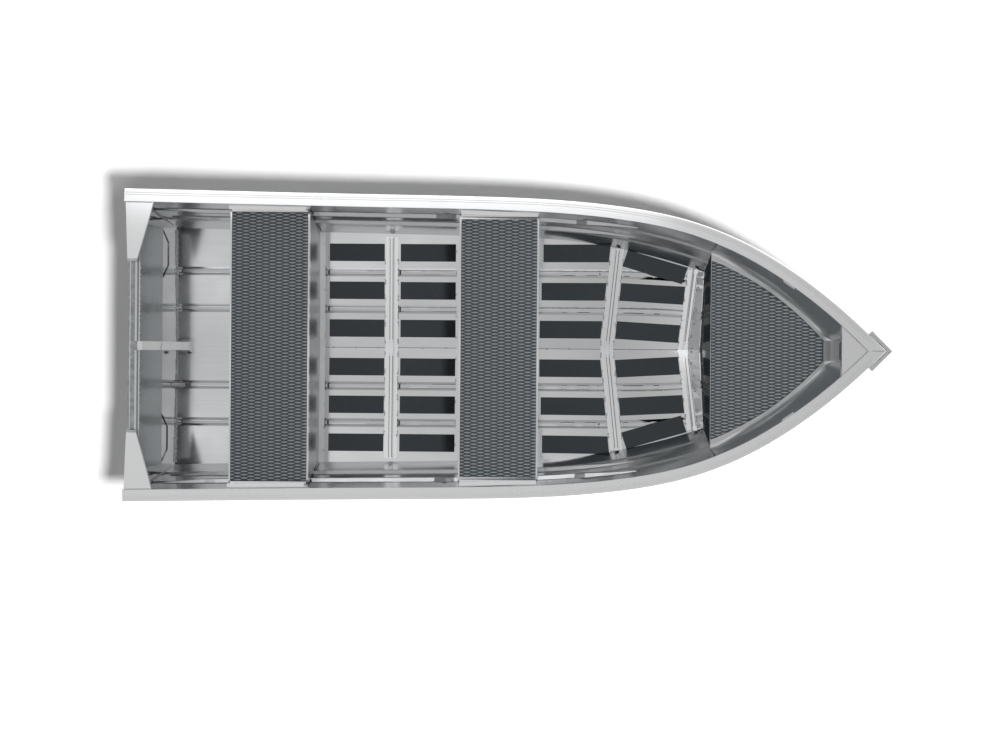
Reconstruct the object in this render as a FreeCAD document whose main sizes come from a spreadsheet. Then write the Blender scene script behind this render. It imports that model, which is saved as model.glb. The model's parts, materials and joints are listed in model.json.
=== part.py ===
import FreeCAD, Part
import math
import os

import Sketcher
from FreeCAD import Placement, Rotation, Vector

# Open aluminium rowing boat, in millimetres.
# +X points to the bow, +Y to port, +Z up. The origin lies under the middle of the boat's length,
# on the ground that the keel stands on.

doc = FreeCAD.newDocument("rowing_boat")
sheet = doc.addObject("Spreadsheet::Sheet", "sizes")

size_values = {
    "length_overall": 3674,
    "beam_overall": 1510,
    "stern_height": 560,
    "hull_plate": 2,
    "seat_gap": 0.3,
    "overrun": 40,
    "headroom": 80,
    "narrowest": 4,
    # bottom
    "keel_depth": 11,
    "keel_width": 32,
    "keel_taper": 5,
    "strake_depth": 16,
    "strake_width": 48,
    "strake_slope": 13,
    "inner_strake_share": 0.2675,
    "outer_strake_share": 0.524,
    # sides
    "swage_depth": 6,
    "swage_width": 58,
    "swage_slope": 15,
    # transom
    "transom_foot_share": 0.46843,
    "transom_rake_angle": 10,
    "transom_plate": 3,
    "transom_cut_depth": 26,
    "transom_cut_share": 0.5377,
    "board_thickness": 32,
    "board_height": 246,
    "board_half_share": 0.788,
    "clamp_plate": 18,
    "clamp_lip": 8,
    "clamp_lip_rise": 2,
    "clamp_wall": 3,
    "clamp_groove": 9,
    "clamp_groove_depth": 12,
    "tray_depth": 5,
    "tray_slope": 9,
    "outer_pad_width": 800,
    "outer_pad_height": 210,
    "outer_pad_thickness": 8,
    "post_width": 43,
    "post_head": 6,
    "post_step": 14,
    "post_foot": 66,
    "knee_plate": 3,
    "knee_setback": 3,
    "knee_slant": 13,
    "knee_reach": 137,
    "knee_end": 43,
    "knee_flange": 14,
    # gunwale
    "gunwale_width": 62,
    "gunwale_overhang": 18,
    "gunwale_cap": 10,
    "gunwale_bead_drop": 18,
    "gunwale_lip_height": 5,
    "gunwale_lip_width": 4,
    "gunwale_seat": 0.9,
    "gunwale_nose": 36,
    "room_reach": 160,
    # benches
    "bench_height": 385,
    "bench_depth": 394,
    "bench_plate": 2,
    "bench_edge": 28,
    "bench_end_rise": 68,
    "foot_rise": 60,
    "aft_bench_front_share": -0.26451,
    "aft_bench_panel_angle": 0.5,
    "aft_bench_back_foot": 28,
    "aft_bench_front_foot": 28,
    "mid_bench_front_share": 0.04455,
    "mid_bench_panel_angle": 0.5,
    "mid_bench_back_foot": 24,
    "mid_bench_front_foot": 10,
    "mat_thickness": 3,
    "mat_border": 9,
    "mat_end_border": 22,
    "deck_mat_border": 34,
    # bow deck
    "deck_height": 400,
    "deck_back_share": 0.27599,
    "deck_front_share": 0.4344,
    "deck_panel_angle": 0,
    "deck_foot": 62,
    "deck_nose": 36,
    "deck_chamfer": 18,
    "deck_mat_nose": 24,
    # ribs
    "rib_flange": 3,
    "rib_foot_width": 28,
    "rib_top_width": 19,
    "rib_space": 150,
    "rib_height": 24,
    "mid_rib_share": -0.16195,
    "mid_rib_bend": 0,
    "mid_rib_back_reach": 33,
    "mid_rib_front_reach": 33,
    "forward_rib_share": 0.14507,
    "forward_rib_bend": 46,
    "forward_rib_back_reach": 33,
    "forward_rib_front_reach": 33,
    "bow_rib_share": 0.2559,
    "bow_rib_bend": 32,
    "bow_rib_back_reach": 36,
    "bow_rib_front_reach": 15,
    "mid_rib_width_share": 0.7656,
    "forward_rib_width_share": 0.69,
    "bow_rib_width_share": 0.545,
    "strap_width": 22,
    "strap_length": 84,
    "strap_plate": 2,
    # floor strips
    "strip_width": 91,
    "strip_thickness": 2,
    "outer_strip_share": 0.6583,
    "strip_clearance": 5,
    "aft_strip_start": 22,
    "mid_strip_start": 13,
    "forward_strip_start": 6,
    "forward_strip_step": 8,
    "bow_strip_turn_share": 0.026,
    "turned_strip_share": 0.5709,
    "turned_strip_turn_share": 0.1225,
    "turned_strip_width": 83,
    "turned_strip_skew": 26,
    "turned_strip_start": 1,
    "turned_strip_end": 22,
    # bow fittings
    "bow_rise_share": 1.1536,
    "stem_start_share": 0.21775,
    "stem_drop": 20,
    "bar_clearance": 0.6,
    "guard_width": 22,
    "guard_leg": 96,
    "guard_drop": 40,
    "guard_height": 34,
    "breasthook_back_share": 0.4344,
    "breasthook_drop": 1,
    "breasthook_reach": 150,
    "breasthook_width": 300,
    "breasthook_plate": 3,
    "breasthook_flange": 26,
    # drain
    "drain_radius": 15,
    "drain_bore_radius": 11,
    "drain_length": 72,
    "drain_flange_radius": 24,
    "drain_flange": 3,
    "drain_level": 44,
}
for row, (name, value) in enumerate(size_values.items(), start=1):
    sheet.set("A%d" % row, name)
    sheet.set("B%d" % row, str(value))
    sheet.setAlias("B%d" % row, name)
doc.recompute()


def size(name):
    return float(getattr(sheet, name))


plate = size("hull_plate")
gap = size("seat_gap")
half_beam = size("beam_overall") / 2
rake = math.radians(size("transom_rake_angle"))


def along(name):
    """Place along the boat, from its middle, as a share of its length."""
    return "(sizes.%s_share * sizes.length_overall)" % name


def beside(name):
    """Place beside the middle plane as a share of the half beam."""
    return "(sizes.%s_share * sizes.beam_overall / 2)" % name


# Lines of the hull on the port side, from the transom to the stem.
# Along the boat they are shares of the overall length, counted from its middle; across it shares
# of the half beam; up it shares of the height at the stern.
line_share = [0.0, 0.14, 0.3, 0.46, 0.6, 0.72, 0.82, 0.9, 0.96, 1.0]
foot_share = -size("transom_foot_share")
keel_length_share = [foot_share, -0.3337, -0.1704, -0.0071, 0.1154, 0.2242, 0.3059, 0.3686, 0.4121, 0.4399]
keel_height_share = [0.0, 0.0, 0.0, 0.0, 0.0036, 0.032, 0.118, 0.264, 0.43, 0.600]
chine_length_share = [-0.4693, -0.3337, -0.1704, -0.0071, 0.1154, 0.2242, 0.3059, 0.3686, 0.4148, 0.4426]
chine_beam_share = [0.824, 0.805, 0.791, 0.7735, 0.7325, 0.6146, 0.478, 0.33, 0.145, 0.0106]
chine_height_share = [0.052, 0.055, 0.066, 0.098, 0.157, 0.25, 0.371, 0.5, 0.593, 0.643]
sheer_length_share = [-0.4948, -0.3337, -0.1704, -0.0071, 0.1154, 0.2242, 0.3059, 0.3740, 0.4393, 0.4821]
sheer_beam_share = [0.976, 0.964, 0.9536, 0.9417, 0.906, 0.8172, 0.668, 0.468, 0.216, 0.0106]
sheer_height_share = [1.0, 0.98, 0.966, 0.9625, 0.9768, 1.014, 1.057, 1.0964, 1.132, size("bow_rise_share")]

# The lines are read at evenly spaced stations. Pressed forms fade out towards the stem.
station_count = 17
station_share = [i / (station_count - 1) for i in range(station_count)]
share_step = 0.002
strake_limit_share = [0.46, 0.9]
strake_fade_share = (0.66, 0.94)
swage_place_share = [0.3, 0.57]
swage_fade_share = (0.8, 0.98)
least_fade_share = 0.02


def hull_curve(length_share, beam_share, height_share, base):
    """One long line of the hull, read by the share of the way to the stem."""
    points = [
        Vector(length * size("length_overall"), beam * half_beam, base + height * size("stern_height"))
        for length, beam, height in zip(length_share, beam_share, height_share)
    ]
    curve = Part.BSplineCurve()
    curve.interpolate(Points=points, Parameters=line_share)
    return curve


keel_curve = hull_curve(keel_length_share, [0.0] * len(line_share), keel_height_share, size("keel_depth"))
chine_curve = hull_curve(chine_length_share, chine_beam_share, chine_height_share, 0)
sheer_curve = hull_curve(sheer_length_share, sheer_beam_share, sheer_height_share, 0)
keel_line = [keel_curve.value(share) for share in station_share]
sheer_line = [sheer_curve.value(share) for share in station_share]


def fade(share, limits):
    """Falls smoothly from one to nearly nothing between two shares of the way to the stem."""
    start, end = limits
    way = min(max((share - start) / (end - start), 0), 1)
    return max((1 + math.cos(math.pi * way)) / 2, least_fade_share)


def soft_least(first, second):
    """The smaller of two lengths, with a smooth change from one to the other."""
    power = 10
    return first * second / (first**power + second**power) ** (1 / power)


def across(first, second):
    """Unit vector square to a run in the cross section, pointing out of the hull."""
    run_y = second.y - first.y
    run_z = second.z - first.z
    length = math.hypot(run_y, run_z)
    return Vector(0, run_z / length, -run_y / length)


def mirrored(point):
    return Vector(point.x, -point.y, point.z)


def inset_section(share, inset):
    """Keel, chine and sheer points of one station, moved into the hull by the inset."""
    keel, chine, sheer = keel_curve.value(share), chine_curve.value(share), sheer_curve.value(share)
    bottom_out = across(keel, chine)
    side_out = across(chine, sheer)
    mitre = (bottom_out + side_out) * (inset / (1 + bottom_out.dot(side_out)))
    keel_in = keel + Vector(0, 0, inset / -bottom_out.z)
    return keel_in, chine - mitre, sheer - side_out * inset


def bottom_outline(share, inset):
    """Bottom sheet across one station, from the keel to the chine, with its pressed strakes."""
    keel, chine, _ = inset_section(share, inset)
    out = across(keel_curve.value(share), chine_curve.value(share))
    drop = out * (size("strake_depth") * fade(share, strake_fade_share))
    outline = [keel]
    for place, limit in zip(("inner_strake_share", "outer_strake_share"), strake_limit_share):
        full_offset = size(place) * half_beam
        centre = soft_least(full_offset, limit * chine.y)
        shrink = centre / full_offset
        wide = (size("strake_width") / 2 - inset) * shrink
        narrow = wide - size("strake_slope") * shrink
        for offset, depth in ((-wide, 0), (-narrow, 1), (narrow, 1), (wide, 0)):
            way = (centre + offset) / chine.y
            outline.append(keel + (chine - keel) * way + drop * depth)
    outline.append(chine)
    return outline


def side_outline(share, inset):
    """Side sheet across one station, from the chine to the sheer, with its pressed swages."""
    _, chine, sheer = inset_section(share, inset)
    out = across(chine_curve.value(share), sheer_curve.value(share))
    rise = sheer - chine
    girth = math.hypot(rise.y, rise.z)
    bulge = out * (size("swage_depth") * fade(share, swage_fade_share))
    wide = size("swage_width") / 2 - inset
    narrow = wide - size("swage_slope")
    outline = [chine]
    for place in swage_place_share:
        for offset, depth in ((-wide, 0), (-narrow, 1), (narrow, 1), (wide, 0)):
            outline.append(chine + rise * (place + offset / girth) + bulge * depth)
    outline.append(sheer)
    return outline


def long_edge(points, knots):
    curve = Part.BSplineCurve()
    curve.interpolate(Points=points, Parameters=knots)
    return curve.toShape()


def on_transom(point, forward=0):
    """The point moved fore or aft into the plane of the transom."""
    foot = size("transom_foot_share") * size("length_overall")
    back = -foot - (point.z - size("keel_depth")) * math.tan(rake)
    return Vector(back + forward, point.y, point.z)


def end_faces(ring):
    """Faces that close one end: one flat face, or a strip of small ones where the ring is twisted."""
    outline = Part.makePolygon(ring + [ring[0]])
    if outline.findPlane():
        return [Part.Face(outline)]
    faces = []
    low, high = 0, len(ring) - 1
    while high - low > 2:
        first = Part.makeLine(ring[low], ring[low + 1])
        second = Part.makeLine(ring[high], ring[high - 1])
        faces.append(Part.makeRuledSurface(first, second))
        low += 1
        high -= 1
    if high - low == 2:
        corners = [ring[low], ring[low + 1], ring[high], ring[low]]
        faces.append(Part.Face(Part.makePolygon(corners)))
    return faces


def skin_solid(rings, raked=True, knots=station_share):
    """Closed solid whose rings, one at each station, are joined by smooth long edges."""
    if raked:
        rings = [[on_transom(point) for point in rings[0]]] + rings[1:]
    count = len(rings[0])
    edges = [long_edge([ring[i] for ring in rings], knots) for i in range(count)]
    faces = [Part.makeRuledSurface(edges[i], edges[(i + 1) % count]) for i in range(count)]
    shell = Part.makeShell(faces + end_faces(rings[0]) + end_faces(rings[-1]))
    shell.sewShape()
    solid = Part.makeSolid(shell)
    if solid.Volume < 0:
        solid.reverse()
    return solid


def hull_volume(inset):
    """The plain space that the hull encloses, inset from its outer face and carried on upwards.

    A deep inset meets the middle of the boat before the stem, so its space ends there.
    """
    end = station_share[-1]
    while inset_section(end, inset)[1].y < size("narrowest"):
        end -= share_step
    shares = [share for share in station_share if share < end - share_step] + [end]
    rings = []
    for share in shares:
        keel, chine, sheer = inset_section(share, inset)
        rise = sheer - chine
        top = sheer + rise * (size("headroom") / rise.Length)
        rings.append([keel, chine, top, mirrored(top), mirrored(chine)])
    return skin_solid(rings, knots=shares)


def add_shape(name, shape):
    """A sub-part or tool whose shape is made from the hull's lines."""
    piece = doc.addObject("Part::Feature", name)
    piece.Label = name
    piece.Shape = shape
    piece.Placement = Placement()
    return piece


def mirror_shape(shape):
    return shape.mirror(Vector(0, 0, 0), Vector(0, 1, 0))


nodes = []

# Bottom and side sheets


def add_sheet(kind, outline):
    rings = [outline(share, 0) + outline(share, plate)[::-1] for share in station_share]
    solid = skin_solid(rings)
    nodes.append(add_shape(kind + "_port", solid))
    nodes.append(add_shape(kind + "_starboard", mirror_shape(solid)))


add_sheet("hull_bottom", bottom_outline)
add_sheet("hull_side", side_outline)

hull_inside = add_shape("hull_inside", hull_volume(plate + gap))
mat_inside = add_shape("mat_inside", hull_volume(plate + gap + size("mat_end_border")))
deck_mat_inside = add_shape("deck_mat_inside", hull_volume(plate + gap + size("deck_mat_border")))
hull_clear = add_shape("hull_clear", hull_volume(-size("bar_clearance")))


# Drawn pieces: closed outlines on one of the origin planes, padded


def number(expression):
    return float(sheet.evalExpression(expression))


def draw_outline(sketch, corners):
    """Closed run of lines whose corners are held by expressions."""
    spots = [Vector(number(across_x), number(across_y), 0) for across_x, across_y in corners]
    count = len(spots)
    lines = [
        sketch.addGeometry(Part.LineSegment(spots[i], spots[(i + 1) % count]), False) for i in range(count)
    ]
    for i in range(count):
        following = lines[(i + 1) % count]
        sketch.addConstraint(Sketcher.Constraint("Coincident", lines[i], 2, following, 1))
    for i, (across_x, across_y) in enumerate(corners):
        for kind, place, expression in (
            ("DistanceX", spots[i].x, across_x),
            ("DistanceY", spots[i].y, across_y),
        ):
            index = sketch.addConstraint(Sketcher.Constraint(kind, -1, 1, lines[i], 1, place))
            sketch.setExpression("Constraints[%d]" % index, expression)


def drawn_body(name, plane, outlines, depth, middle=False, backward=False):
    body = doc.addObject("PartDesign::Body", name)
    body.Label = name
    sketch = body.newObject("Sketcher::SketchObject", name + "_outline")
    support = [part for part in body.Origin.OriginFeatures if part.Role == plane]
    sketch.AttachmentSupport = [(support[0], "")]
    sketch.MapMode = "FlatFace"
    for corners in outlines:
        draw_outline(sketch, corners)
    pad = body.newObject("PartDesign::Pad", name + "_pad")
    pad.Profile = sketch
    pad.setExpression("Length", depth)
    pad.Midplane = middle
    pad.Reversed = backward
    body.Tip = pad
    return body


def combined(name, kind, base, tool):
    """Part::Common, Part::Cut or Part::Fuse of two objects."""
    piece = doc.addObject(kind, name)
    piece.Label = name
    piece.Base = base
    piece.Tool = tool
    return piece


def inside(name, blank, tool):
    return combined(name, "Part::Common", blank, tool)


def rectangle(low_x, low_y, high_x, high_y):
    return [(low_x, low_y), (high_x, low_y), (high_x, high_y), (low_x, high_y)]


def space_above(name, thickness):
    """The space over a layer of even thickness that lies on the plain floor and sides."""
    return add_shape(name, hull_volume(plate + gap + thickness))


above_feet = space_above("above_feet", size("bench_plate"))
above_flanges = space_above("above_flanges", size("rib_flange"))
above_strips = space_above("above_strips", size("strip_thickness"))
above_rib_gap = space_above("above_rib_gap", size("rib_height") + gap)
above_straps = space_above("above_straps", size("rib_height") + gap + size("strap_plate"))


def on_floor(name, blank, above, floor=hull_inside):
    """The blank cut to a layer between two of the hull's spaces."""
    piece = inside(name + "_deep", blank, floor)
    return combined(name, "Part::Cut", piece, above)


# Benches: a folded top pan with end flanges up the sides, a panel with a foot before and behind it, a mat


def panel_face(edge, sign, angle, under, height):
    """Outer face of a leaning panel at a height."""
    return "(%s + %s * (%s - %s) * tan(%s))" % (edge, sign, under, height, angle)


def add_panel(name, edge, sign, angle, foot, under):
    """Folded panel from the underside of a top down to the floor, with a foot turned outwards.

    Returns where its foot ends.
    """
    low_face = panel_face(edge, sign, angle, under, "0")
    inner = "- %s * sizes.bench_plate" % sign
    toe = "(%s + %s * %s)" % (low_face, sign, foot)
    outline = [
        (edge, under),
        (panel_face(edge, sign, angle, under, "sizes.foot_rise"), "sizes.foot_rise"),
        (toe, "sizes.foot_rise"),
        (toe, "0"),
        ("%s %s" % (low_face, inner), "0"),
        ("%s %s" % (edge, inner), under),
    ]
    blank = drawn_body(name + "_blank", "XZ_Plane", [outline], "sizes.beam_overall", middle=True)
    blank = inside(name + "_full", blank, hull_inside)
    far_toe = "(%s + %s * sizes.overrun)" % (toe, sign)
    outline = [(edge, under), (low_face, "0"), (far_toe, "0"), (far_toe, under)]
    over_foot = drawn_body(name + "_over_foot", "XZ_Plane", [outline], "sizes.beam_overall", middle=True)
    over_foot = inside(name + "_opening", over_foot, above_feet)
    nodes.append(combined(name, "Part::Cut", blank, over_foot))
    return toe


def add_mat(name, outline, top, within):
    mat = drawn_body(name + "_blank", "XY_Plane", [outline], "%s + sizes.mat_thickness" % top)
    mat = inside(name + "_full", mat, within)
    below = drawn_body(name + "_below", "XY_Plane", [outline], top)
    nodes.append(combined(name, "Part::Cut", mat, below))


def add_bench(name):
    front_edge = along(name + "_front")
    angle = "sizes.%s_panel_angle" % name
    back_edge = "(%s - sizes.bench_depth)" % front_edge
    top = "sizes.bench_height"
    under = "(%s - sizes.bench_plate)" % top
    low = "(%s - sizes.bench_edge)" % top
    rise = "(%s + sizes.bench_end_rise)" % top
    pan = [
        (back_edge, low),
        ("%s + sizes.bench_plate" % back_edge, low),
        ("%s + sizes.bench_plate" % back_edge, under),
        ("%s - sizes.bench_plate" % front_edge, under),
        ("%s - sizes.bench_plate" % front_edge, low),
        (front_edge, low),
        (front_edge, rise),
        (back_edge, rise),
    ]
    blank = drawn_body(name + "_blank", "XZ_Plane", [pan], "sizes.beam_overall", middle=True)
    blank = inside(name + "_full", blank, hull_inside)
    room = rectangle(back_edge, top, front_edge, "(%s + sizes.overrun)" % rise)
    room = drawn_body(name + "_room", "XZ_Plane", [room], "sizes.beam_overall", middle=True)
    room = inside(name + "_opening", room, above_feet)
    nodes.append(combined(name + "_top", "Part::Cut", blank, room))
    inward = "(sizes.bench_plate + sizes.seat_gap + sizes.bench_edge * tan(%s))" % angle
    toes = []
    for side, edge, sign in (("back", back_edge, "-1"), ("front", front_edge, "1")):
        face = "(%s - %s * %s)" % (edge, sign, inward)
        foot = "sizes.%s_%s_foot" % (name, side)
        toes.append(add_panel("%s_%s_panel" % (name, side), face, sign, angle, foot, under))
    outline = rectangle(
        "%s + sizes.mat_border" % back_edge,
        "-sizes.beam_overall / 2",
        "%s - sizes.mat_border" % front_edge,
        "sizes.beam_overall / 2",
    )
    add_mat(name + "_mat", outline, top, mat_inside)
    return toes


aft_bench_toes = add_bench("aft_bench")
mid_bench_toes = add_bench("mid_bench")

# Bow deck: a plate on the sides of the hull, its leaning back panel and its mat

deck_under = "(sizes.deck_height - sizes.bench_plate)"
deck_back = along("deck_back")
deck_front = along("deck_front")
deck_corner = "%s - sizes.deck_chamfer" % deck_front
deck_outline = [
    (deck_back, "-sizes.beam_overall / 2"),
    (deck_corner, "-sizes.beam_overall / 2"),
    (deck_corner, "-sizes.deck_nose - sizes.deck_chamfer"),
    (deck_front, "-sizes.deck_nose"),
    (deck_front, "sizes.deck_nose"),
    (deck_corner, "sizes.deck_nose + sizes.deck_chamfer"),
    (deck_corner, "sizes.beam_overall / 2"),
    (deck_back, "sizes.beam_overall / 2"),
]
deck_full = drawn_body("deck_blank", "XY_Plane", [deck_outline], "sizes.deck_height")
deck_full = inside("deck_full", deck_full, hull_inside)
deck_below = drawn_body("deck_below", "XY_Plane", [deck_outline], deck_under)
nodes.append(combined("bow_deck", "Part::Cut", deck_full, deck_below))
deck_face = "(%s + sizes.bench_plate)" % deck_back
add_panel("bow_deck_panel_full", deck_face, "-1", "sizes.deck_panel_angle", "sizes.deck_foot", deck_under)
deck_panel = nodes.pop()
deck_mat_outline = rectangle(
    "%s + sizes.mat_border" % deck_back,
    "-sizes.beam_overall / 2",
    "%s - sizes.deck_mat_nose" % deck_front,
    "sizes.beam_overall / 2",
)
add_mat("bow_deck_mat", deck_mat_outline, "sizes.deck_height", deck_mat_inside)

# Cross ribs on the floor: folded to a ridge between two flanges, bent forward at the ends near the bow

rib_ring_share = [-1.0, -0.5, 0.0, 0.5, 1.0]


def share_at(place):
    """Share of the way to the stem at which the keel reaches a place along the boat."""
    low, high = station_share[0], station_share[-1]
    while high - low > share_step**2:
        middle = (low + high) / 2
        if keel_curve.value(middle).x < place:
            low = middle
        else:
            high = middle
    return low


def floor_point(place, offset, height):
    """Point over the plain floor, at a height square to the floor."""
    keel, chine, _ = inset_section(share_at(place), plate + gap + height)
    level = keel.z + (chine.z - keel.z) * abs(offset) / chine.y
    return Vector(place, offset, level)


def add_rib(bay):
    middle = number(along(bay + "_rib"))
    half_width = number(beside(bay + "_rib_width"))
    back = size(bay + "_rib_back_reach")
    front = size(bay + "_rib_front_reach")
    foot = size("rib_foot_width") / 2
    top = size("rib_top_width") / 2
    flange = size("rib_flange")
    ridge = size("rib_height")
    profile = [
        (-back, -plate),
        (-back, flange),
        (-foot, flange),
        (-top, ridge),
        (top, ridge),
        (foot, flange),
        (front, flange),
        (front, -plate),
    ]
    wires = []
    for share in rib_ring_share:
        place = middle + size(bay + "_rib_bend") * abs(share)
        ring = [floor_point(place + forward, half_width * share, up) for forward, up in profile]
        wires.append(Part.makePolygon(ring + [ring[0]]))
    name = bay + "_bay_rib"
    blank = add_shape(name + "_blank", Part.makeLoft(wires, True, True))
    nodes.append(inside(name, blank, hull_inside))


for bay in ("mid", "forward", "bow"):
    add_rib(bay)

# The foot of the deck's panel is cut to lie along the front of the bow rib


def chevron(back, front, bend, half_width):
    """Outline across the boat whose ends lie forward of its middle by the bend."""
    return [
        (back, "0"),
        ("%s + %s" % (back, bend), half_width),
        ("%s + %s" % (front, bend), half_width),
        (front, "0"),
        ("%s + %s" % (front, bend), "-%s" % half_width),
        ("%s + %s" % (back, bend), "-%s" % half_width),
    ]


bow_rib_edge = "(%s + sizes.bow_rib_front_reach + sizes.seat_gap)" % along("bow_rib")
behind_edge = chevron(
    "(%s - sizes.rib_space)" % bow_rib_edge,
    bow_rib_edge,
    "sizes.bow_rib_bend",
    beside("bow_rib_width"),
)
behind_edge = drawn_body("behind_bow_rib_edge", "XY_Plane", [behind_edge], "sizes.deck_height")
nodes.append(combined("bow_deck_panel", "Part::Cut", deck_panel, behind_edge))

# Straps over the middle of the ribs

straps = []
for place in (along("mid_rib"), along("forward_rib"), along("bow_rib")):
    straps.append(
        rectangle(
            "%s - sizes.strap_width / 2" % place,
            "-sizes.strap_length / 2",
            "%s + sizes.strap_width / 2" % place,
            "sizes.strap_length / 2",
        )
    )
strap_blank = drawn_body("rib_straps_blank", "XY_Plane", straps, "sizes.deck_height")
nodes.append(on_floor("rib_straps", strap_blank, above_straps, above_rib_gap))

# Grip strips on the floor: rows between the keel and the strakes, one set in each bay

strip_half = "sizes.strip_width / 2"
inner_row = "(%s / 2)" % beside("inner_strake")
middle_row = "((%s + %s) / 2)" % (beside("inner_strake"), beside("outer_strake"))
outer_row = beside("outer_strip")
rows = (inner_row, middle_row, outer_row)


def strip_corners(back, front, row):
    """A strip along the boat on the port side, between two places and centred on a row."""
    return rectangle(back, "%s - %s" % (row, strip_half), front, "%s + %s" % (row, strip_half))


def other_side(corners):
    return [(spot, "-(%s)" % offset) for spot, offset in corners]


def add_strips(name, outlines):
    outlines = outlines + [other_side(corners) for corners in outlines]
    blank = drawn_body(name + "_blank", "XY_Plane", outlines, "sizes.deck_height")
    nodes.append(on_floor(name, blank, above_strips))


def rib_bend(bay, offset):
    return "sizes.%s_rib_bend * (%s) / %s" % (bay, offset, beside(bay + "_rib_width"))


def behind_rib(bay, clearance, offset):
    """Place behind the flange of a rib, at an offset from the middle plane."""
    edge = "%s - sizes.%s_rib_back_reach" % (along(bay + "_rib"), bay)
    return "(%s - %s + %s)" % (edge, clearance, rib_bend(bay, offset))


def ahead_of_rib(bay, clearance, offset):
    """Place ahead of the flange of a rib, at an offset from the middle plane."""
    edge = "%s + sizes.%s_rib_front_reach" % (along(bay + "_rib"), bay)
    return "(%s + %s + %s)" % (edge, clearance, rib_bend(bay, offset))


aft_bay_strips = []
mid_bay_strips = []
forward_bay_strips = []
clearance = "sizes.strip_clearance"
for i, row in enumerate(rows):
    low = "(%s - %s)" % (row, strip_half)
    high = "(%s + %s)" % (row, strip_half)
    aft_back = "%s + sizes.aft_strip_start" % aft_bench_toes[1]
    aft_bay_strips.append(strip_corners(aft_back, behind_rib("mid", clearance, "0"), row))
    mid_front = "%s - %s" % (mid_bench_toes[0], clearance)
    mid_bay_strips.append(strip_corners(ahead_of_rib("mid", "sizes.mid_strip_start", "0"), mid_front, row))
    start = "%s + sizes.forward_strip_start + %d * sizes.forward_strip_step" % (mid_bench_toes[1], i)
    forward_bay_strips.append(
        [
            (start, low),
            (behind_rib("forward", clearance, low), low),
            (behind_rib("forward", clearance, high), high),
            (start, high),
        ]
    )
add_strips("floor_strips_aft_bay", aft_bay_strips)
add_strips("floor_strips_mid_bay", mid_bay_strips)
add_strips("floor_strips_forward_bay", forward_bay_strips)

# in the bow bay the strips turn in with the strakes, the outer ones with the chine
bow_bay_strips = []
turn = beside("bow_strip_turn")
for row in rows[:2]:
    low = "(%s - %s)" % (row, strip_half)
    high = "(%s + %s)" % (row, strip_half)
    bow_bay_strips.append(
        [
            (ahead_of_rib("forward", clearance, low), low),
            (behind_rib("bow", clearance, low), "%s - %s" % (low, turn)),
            (behind_rib("bow", clearance, high), "%s - %s" % (high, turn)),
            (ahead_of_rib("forward", clearance, high), high),
        ]
    )
low = beside("turned_strip")
front_low = "%s - %s" % (low, beside("turned_strip_turn"))
back = ahead_of_rib("forward", "sizes.turned_strip_start", low)
front = behind_rib("bow", "sizes.turned_strip_end", front_low)
bow_bay_strips.append(
    [
        (back, low),
        (front, front_low),
        (front + " + sizes.turned_strip_skew", front_low + " + sizes.turned_strip_width"),
        (back + " + sizes.turned_strip_skew", low + " + sizes.turned_strip_width"),
    ]
)
add_strips("floor_strips_bow_bay", bow_bay_strips)

# Gunwales: an extrusion along the top of each side, with a bead outside and a lip inside

bead = size("gunwale_overhang")
inner_width = size("gunwale_width") - bead
cap = size("gunwale_cap")
lip_top = cap + size("gunwale_lip_height")
bead_share = [0.65, 0.5, 0.4, 0.75]


def along_sheer(profile):
    """Solid whose section, outwards and up from the sheer line, runs from the stern to past the stem."""
    rings = []
    last = len(sheer_line) - 1
    for j in range(len(sheer_line)):
        before = sheer_line[max(j - 1, 0)]
        after = sheer_line[min(j + 1, last)]
        forward = Vector(after.x - before.x, after.y - before.y, 0).normalize()
        outwards = Vector(-forward.y, forward.x, 0)
        middle = sheer_line[j]
        if j == 0:
            middle = on_transom(middle) - forward * bead
        if j == last:
            middle = middle + forward * size("gunwale_nose")
        rings.append([middle + outwards * out + Vector(0, 0, up) for out, up in profile])
    return skin_solid(rings, raked=False)


gunwale_profile = [
    (size("gunwale_seat"), 0),
    (size("gunwale_seat"), -size("gunwale_bead_drop")),
    (bead * bead_share[0], -size("gunwale_bead_drop")),
    (bead, -size("gunwale_bead_drop") * bead_share[1]),
    (bead, cap * bead_share[2]),
    (bead * bead_share[3], cap),
    (size("gunwale_lip_width") - inner_width, cap),
    (size("gunwale_lip_width") - inner_width, lip_top),
    (-inner_width, lip_top),
    (-inner_width, 0),
]
gunwale_run = add_shape("gunwale_run", along_sheer(gunwale_profile))


def sheer_space(name, inner, outer, low, high):
    """Square-edged space along the sheer, used to cut other pieces clear of a gunwale."""
    return add_shape(name, along_sheer([(inner, low), (outer, low), (outer, high), (inner, high)]))


over = size("overrun")
gunwale_room = sheer_space("gunwale_room", -inner_width - gap, size("room_reach"), -over, over)


def mirror_of(name, source):
    piece = doc.addObject("Part::Mirroring", name)
    piece.Label = name
    piece.Source = source
    piece.Normal = Vector(0, 1, 0)
    return piece


def add_block(name, back, front, right, left, low, high):
    """Part::Box between six planes given as expressions."""
    block = doc.addObject("Part::Box", name)
    block.Label = name
    block.setExpression("Length", "%s - (%s)" % (front, back))
    block.setExpression("Width", "%s - (%s)" % (left, right))
    block.setExpression("Height", "%s - (%s)" % (high, low))
    block.setExpression("Placement.Base.x", back)
    block.setExpression("Placement.Base.y", right)
    block.setExpression("Placement.Base.z", low)
    return block


other_half = add_block(
    "other_half",
    "-sizes.length_overall",
    "sizes.length_overall",
    "-sizes.beam_overall",
    "sizes.seat_gap / 2",
    "-sizes.length_overall",
    "sizes.length_overall",
)
gunwale_port = combined("gunwale_port", "Part::Cut", gunwale_run, other_half)
nodes.append(gunwale_port)
nodes.append(mirror_of("gunwale_starboard", gunwale_port))

# Breasthook: a plate with a folded back edge between the gunwales at the bow

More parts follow.
